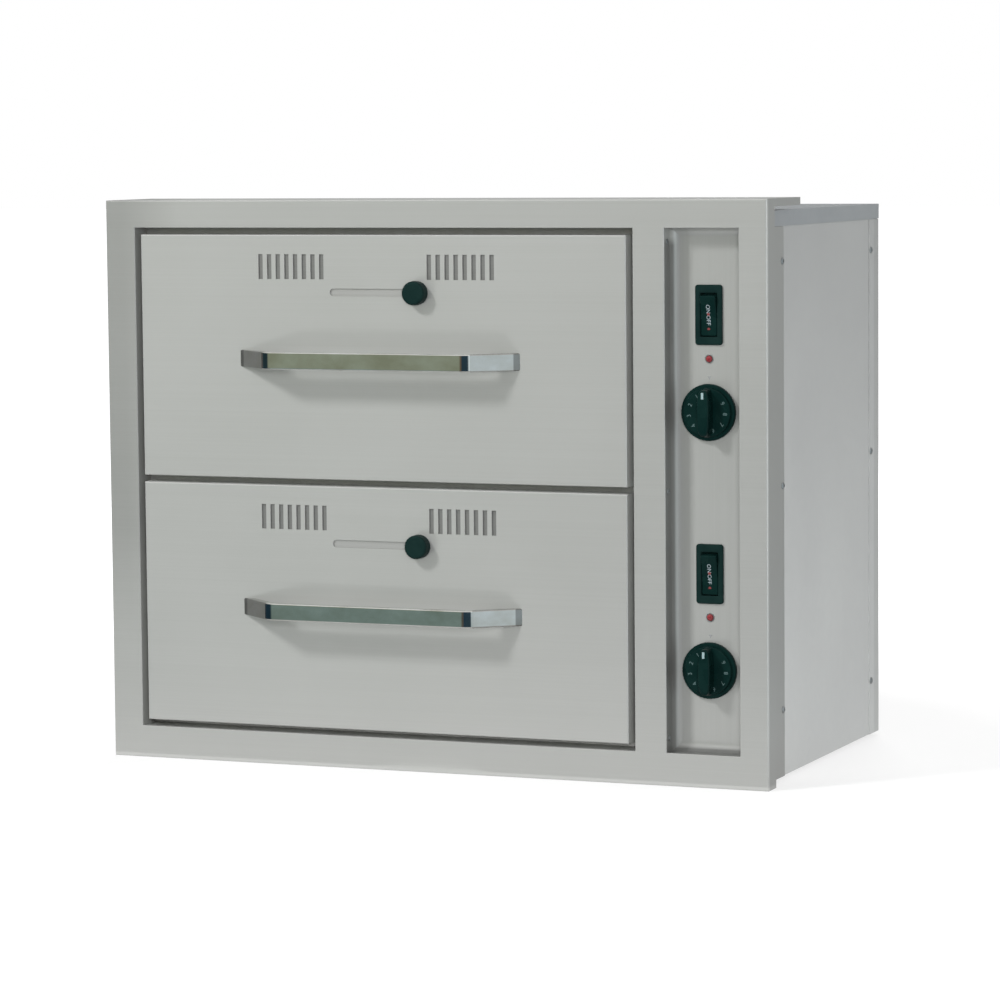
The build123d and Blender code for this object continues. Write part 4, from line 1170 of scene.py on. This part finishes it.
@dataclass
class RockerSwitch:
    """One rocker switch: its housing, its rocker and the rocker's marks."""

    level: str
    bezel_roll: float = 1.2 * MM
    bezel_land: float = 5.5 * MM
    bezel_corner: Pair = (3.0 * MM, 1.0 * MM)
    bezel_sink: float = 0.5 * MM
    land_shares: tuple[float, ...] = (0.8, 0.93, 1.0, 1.0)
    land_drops: Triple = (0.1 * MM, 0.3 * MM, 0.9 * MM)
    pocket_half: Pair = (9.0 * MM, 22.2 * MM)
    pocket_depth: float = 9.0 * MM
    half: Pair = (8.5 * MM, 20.5 * MM)
    lean_degrees: float = 8.0
    height: float = 6.2 * MM
    dish: float = 2.3 * MM
    roll: float = 1.6 * MM
    skirt: float = 9.0 * MM
    ridge: float = 0.1 * MM
    corner: Pair = (1.5 * MM, 0.05 * MM)
    corner_loss: float = 0.5
    word_height: float = 4.2 * MM
    words: tuple[tuple[str, float], ...] = (("ON", 7.0 * MM), ("OFF", -4.5 * MM))
    dots: Pair = (1.6 * MM, -13.5 * MM)
    dot_sides: int = 24
    dot_radius: float = 1.5 * MM
    dot_sink: float = 0.05 * MM

    def build(self) -> None:
        """Makes the housing, the rocker and its marks."""
        self.build_bezel()
        self.build_rocker()
        self.build_marks()

    def build_bezel(self) -> None:
        """Switch housing: rolled bezel, a land sloping in to the pocket, and the pocket's walls and floor.

        Each ring is a rounded rectangle at a share of the way from the housing's outline to the pocket's.
        """
        node = f"{self.level}_switch_housing"
        low, high = node_box(node)
        at = front_middle(node, panel_face())
        outer = (high - low)[[0, 2]] / 2
        top = at[1] - low[1]
        roll = edge_roll(self.bezel_roll, steps=6)
        share = np.concatenate([[0.0], roll[:, 0] / self.bezel_land, self.land_shares])
        rise = np.concatenate([[-self.bezel_sink], top - roll[:, 1], top - np.array(self.land_drops),
                               [-self.pocket_depth]])
        half = outer + (self.pocket_half - outer) * share[:, None]
        corner, inner_corner = self.bezel_corner
        radius = corner + (inner_corner - corner) * share
        walls = with_height(rounded_rings(*half.T, radius, arc=8, run=4), rise)
        floor = np.repeat(walls[-1:].mean(axis=1, keepdims=True), walls.shape[1], axis=1)
        work = Patchwork(f"{self.level}_switch_bezel")
        work.add_grid(Facing.FRONT.place(np.concatenate([walls, floor]), at), BLACK)
        work.set_on("cabinet", "black_plastic", node)

    def place(self, local: np.ndarray) -> np.ndarray:
        """Carries points from the rocker's across, along and out axes at rest to the row frame.

        Args:
            local: points from the rocker's pivot, in metres.

        Returns:
            The same points in the row frame.
        """
        joint = next(j for j in frame["joints"] if j["name"] == f"{self.level}_switch_rock")
        lean = math.radians(self.lean_degrees)
        sine, cosine = math.sin(lean), math.cos(lean)
        axes = np.array([(1.0, 0.0, 0.0), (0.0, -sine, cosine), (0.0, -cosine, -sine)])
        return local @ axes + joint["pos_m"]

    def face(self, along: np.ndarray | float) -> np.ndarray | float:
        """Height of the dished face: its height at the pivot plus dish (along / half length)^2."""
        return self.height + self.dish * (along / self.half[1]) ** 2

    def build_rocker(self) -> None:
        """Rocker with a dished face and rolled edges.

        Rings of rounded rectangles shrink from the skirt to a ridge along the middle, and each point's
        height is the dished face less the rolled edge's drop at that ring.
        """
        roll = edge_roll(self.roll, steps=7)
        width, length = self.half
        flat = np.linspace(self.roll, width - self.ridge, num=7)[1:]
        inset = np.concatenate([[0.0], roll[:, 0], flat])
        drop = np.concatenate([[self.skirt], roll[:, 1], np.zeros_like(flat)])
        corner, least = self.corner
        radius = np.maximum(corner - self.corner_loss * inset, least)
        rings = rounded_rings(width - inset, length - inset, radius, arc=6, run=10)
        cap = with_height(rings, self.face(rings[..., 1]) - drop[:, None])
        ridge = cap[-1:] * np.array([0.0, 1.0, 1.0])
        work = Patchwork(f"{self.level}_rocker_cap")
        work.add_grid(self.place(np.concatenate([cap, ridge])), GLOSS_BLACK)
        work.set_on(f"{self.level}_switch", "black_plastic", f"{self.level}_rocker", sharp=60.0)

    def build_marks(self) -> None:
        """Words printed down the rocker's face, bent to its dish, and two red dots."""
        marks = Patchwork(f"{self.level}_rocker_marks")
        for word, along in self.words:
            middle = np.array([0.0, along, 0.0])
            marks.add_letters(word, self.word_height, PALE_INK, Facing.UP, middle, -math.pi / 2)
            local = marks.points[-1]
            local[:, 2] += self.face(local[:, 1])
            marks.points[-1] = self.place(local)
        sink, radius = -self.dot_sink, self.dot_radius
        dot = turned(np.array([(0.0, sink), (radius, sink), (radius, INK), (0.0, INK)]), self.dot_sides)
        for along in self.dots:
            marks.add_grid(self.place(dot + (0.0, along, self.face(along))), RED_INK)
        marks.set_on(f"{self.level}_switch", "black_plastic")


@dataclass(frozen=True)
class Lamp:
    """Square area lamp aimed at the object's middle.

    Azimuth and elevation are degrees to the right of the front and above the floor, distance and size are
    metres, and power is watts.
    """

    name: str
    azimuth: float
    elevation: float
    distance: float
    size: float
    power: float

    def hang(self, middle: float) -> None:
        """Puts the lamp into the scene, out of the mirrors' sight.

        Args:
            middle: height of the object's middle, in metres.
        """
        lamp = bpy.data.lights.new(self.name, "AREA")
        lamp.size = self.size
        lamp.energy = self.power
        holder = add_object(self.name, lamp)
        turn, lift = math.radians(self.azimuth), math.radians(self.elevation)
        reach, rise = self.distance * math.cos(lift), self.distance * math.sin(lift)
        holder.location = (reach * math.sin(turn), -reach * math.cos(turn), middle + rise)
        holder.rotation_euler = Euler((math.pi / 2 - lift, 0.0, turn))
        holder.visible_glossy = False


@dataclass
class Studio:
    """Pale floor, soft lamps, white surround and the camera at the photo's angle.

    The bounce lamp is the key's image in the floor, which casts no shadow of its own. The camera's turns
    are degrees, its lens and sensor are millimetres, and other lengths are metres.
    """

    camera_place: Triple = (1.62853, -3.97241, 0.66050)
    camera_turn: Triple = (84.79, 0.508, 22.204)
    lens: float = 143.665
    sensor: float = 36.0
    lamp_aim: float = 0.3
    lamps: tuple[Lamp, ...] = (
        Lamp("key_lamp", -34.0, 37.0, 3.4, 0.5, 76.0), Lamp("bounce_lamp", -34.0, -21.0, 3.4, 0.5, 25.0),
        Lamp("fill_lamp", 24.0, 9.0, 4.4, 0.9, 104.0), Lamp("side_lamp", 95.0, 12.0, 3.2, 1.4, 42.0),
        Lamp("rear_lamp", 190.0, 24.0, 3.8, 1.4, 80.0))
    surround_level: float = 0.34
    horizon_blend: float = 0.01
    floor_half: float = 30.0
    floor_clouds: Noise = Noise((2.0, 2.0, 2.0), 2.0)
    floor_tones: Pair = (0.32, 0.35)
    glow: Pair = (0.66, 1.0)
    glow_reach: Pair = (0.55, 1.10)
    room_sides: int = 96
    room_radius: float = 6.0
    room_height: float = 3.2
    room_cove: float = 1.2
    room_opening: float = 0.20
    room_lift: float = 4.0 * MM
    pale_level: float = 0.56
    pale_reach: Pair = (0.45, 0.85)
    carpet_reach: Pair = (2.5, 4.5)
    carpet_tint: Triple = (0.65, 0.79, 0.96)
    carpet_edge: float = 0.3
    flag_sides: int = 48
    flag_radius: float = 3.4
    flag_height: float = 3.0
    flag_folds: Noise = Noise((1.5, 1.5, 1.5), 2.0)
    flag_tones: Pair = (0.72, 0.80)

    def build(self) -> None:
        """Sets up the whole studio."""
        bpy.context.scene.view_settings.view_transform = "Standard"
        self.build_floor()
        self.build_surround()
        self.build_room()
        for lamp in self.lamps:
            lamp.hang(self.lamp_aim)
        self.build_camera()

    def add_stage(self, name: str, grid: np.ndarray, closed: bool, work: NodeMaterial) -> bpy.types.Object:
        """Puts a grid in its material on the stage.

        Args:
            name: the surface's name.
            grid: points of shape (rows, columns, 3).
            closed: whether the last column joins the first.
            work: the finished material.

        Returns:
            The surface's object.
        """
        mesh = bpy.data.meshes.new(name)
        mesh.from_pydata(grid.reshape(-1, 3).tolist(), [], quads(*grid.shape[:2], closed).tolist())
        mesh.materials.append(work.material)
        piece = add_object(name, mesh)
        return piece

    def greys(self, work: NodeMaterial, noise: Noise, tones: Pair) -> Socket:
        """Cloudy grey between two tones."""
        low, high = tones
        return work.mixed(work.ranged(work.noise(noise), 0.0, 1.0), (low,) * 3, (high,) * 3)

    def build_floor(self) -> None:
        """Wide pale floor whose glow rises to white away from the object, so that only near shadows show."""
        work = NodeMaterial("pale_floor")
        glow = work.ranged(work.distance(), *self.glow, self.glow_reach)
        work.shade({"Base Color": self.greys(work, self.floor_clouds, self.floor_tones), "Roughness": 0.9,
                    "Specular IOR Level": 0.1, "Emission Color": WHITE,
                    "Emission Strength": work.product(glow, work.seen())})
        ends = np.array([-self.floor_half, self.floor_half])
        deep, across = np.meshgrid(ends, ends, indexing="ij")
        grid = np.stack([across, deep, np.zeros_like(deep)], axis=-1)
        self.add_stage("studio_floor", grid, False, work).visible_shadow = False

    def build_surround(self) -> None:
        """White surround for rays that see, and a lower level, from above, for the light on the object."""
        world = bpy.data.worlds.new("studio_surround")
        world.use_nodes = True
        work = NodeTree(world.node_tree)
        height = work.add("SeparateXYZ", {"Vector": work.add("TexCoord", {}, "Generated")}, "Z")
        above = work.ranged(height, 0.0, self.surround_level, (0.0, self.horizon_blend))
        background = work.nodes["Background"].inputs
        work.feed(background["Color"], WHITE)
        work.feed(background["Strength"], work.ranged(work.seen(), above, 1.0, (0.0, 1.0)))
        bpy.context.scene.world = world

    def build_room(self) -> None:
        """Room that only mirrors see: a round wall in upright bands with a coved floor, and a flag overhead.

        The wall is a surface of revolution: out along the floor, up through a quarter circle and straight
        up. A band's colour follows the azimuth, atan2(x, -y), in degrees to the right of the front, and the
        near floor tints it and pales towards the object.
        """
        bend = np.linspace(0.0, np.pi / 2, num=12)
        foot = self.room_radius - self.room_cove
        cove = np.stack([foot + self.room_cove * np.sin(bend), self.room_cove * (1 - np.cos(bend))], axis=-1)
        wall = np.concatenate([[(self.room_opening, 0.0)], cove, [(self.room_radius, self.room_height)]])
        wall[:, 1] += self.room_lift
        work = NodeMaterial("room_bands")
        forward = work.product(work.along(1), -1.0)
        azimuth = work.add("Math", {0: work.along(0), 1: forward}, operation="ARCTAN2")
        stops = {(degrees + 180.0) / 360.0: colour for *ends, colour in ROOM_BANDS for degrees in ends}
        bands = work.banded(work.ranged(azimuth, 0.0, 1.0, (-math.pi, math.pi)), list(stops.items()))
        carpet = work.product(work.ranged(work.distance(), 1.0, 0.0, self.carpet_reach),
                              work.past(0, self.carpet_edge, -self.carpet_edge))
        bands = work.mixed(carpet, bands, self.carpet_tint, Blend.TIMES)
        pale = work.ranged(work.distance(), 1.0, 0.0, self.pale_reach)
        bands = work.mixed(pale, bands, (self.pale_level,) * 3)
        self.add_mirrored("room_wall", turned(wall, self.room_sides), work, bands)
        flag = np.array([(self.flag_radius, self.flag_height), (0.0, self.flag_height)])
        work = NodeMaterial("flag_cloth")
        folds = self.greys(work, self.flag_folds, self.flag_tones)
        self.add_mirrored("room_flag", turned(flag, self.flag_sides), work, folds)

    def add_mirrored(self, name: str, grid: np.ndarray, work: NodeMaterial, colour: Socket) -> None:
        """Puts a glowing surface on the stage that only mirror rays see.

        Args:
            name: the surface's name.
            grid: points of shape (rows, columns, 3), closed round the columns.
            work: the material under construction.
            colour: the glow's colour.
        """
        work.shade({"Base Color": NO_COLOUR, "Roughness": 1.0, "Specular IOR Level": 0.0,
                    "Emission Color": colour, "Emission Strength": 1.0})
        piece = self.add_stage(name, grid, True, work)
        for ray in ("camera", "diffuse", "shadow", "transmission"):
            setattr(piece, f"visible_{ray}", False)

    def build_camera(self) -> None:
        """Camera fitted to the photo's corners, for a square picture."""
        camera = bpy.data.cameras.new("photo_camera")
        camera.lens = self.lens
        camera.sensor_width = self.sensor
        holder = add_object("photo_camera", camera)
        holder.location = self.camera_place
        holder.rotation_euler = Euler([math.radians(angle) for angle in self.camera_turn])
        bpy.context.scene.camera = holder


def main() -> None:
    """Builds the sub-assemblies in order, then the studio."""
    logging.basicConfig(level=logging.INFO, format="%(name)s: %(message)s")
    assemblies = [Casing(), HeatedBay()]
    for level in LEVELS:
        assemblies += [Drawer(level), Dial(level), PilotLight(level), RockerSwitch(level)]
    for assembly in (*assemblies, Studio()):
        assembly.build()
        LOG.info("%s is built", type(assembly).__name__)


if __name__ == "__main__":
    main()
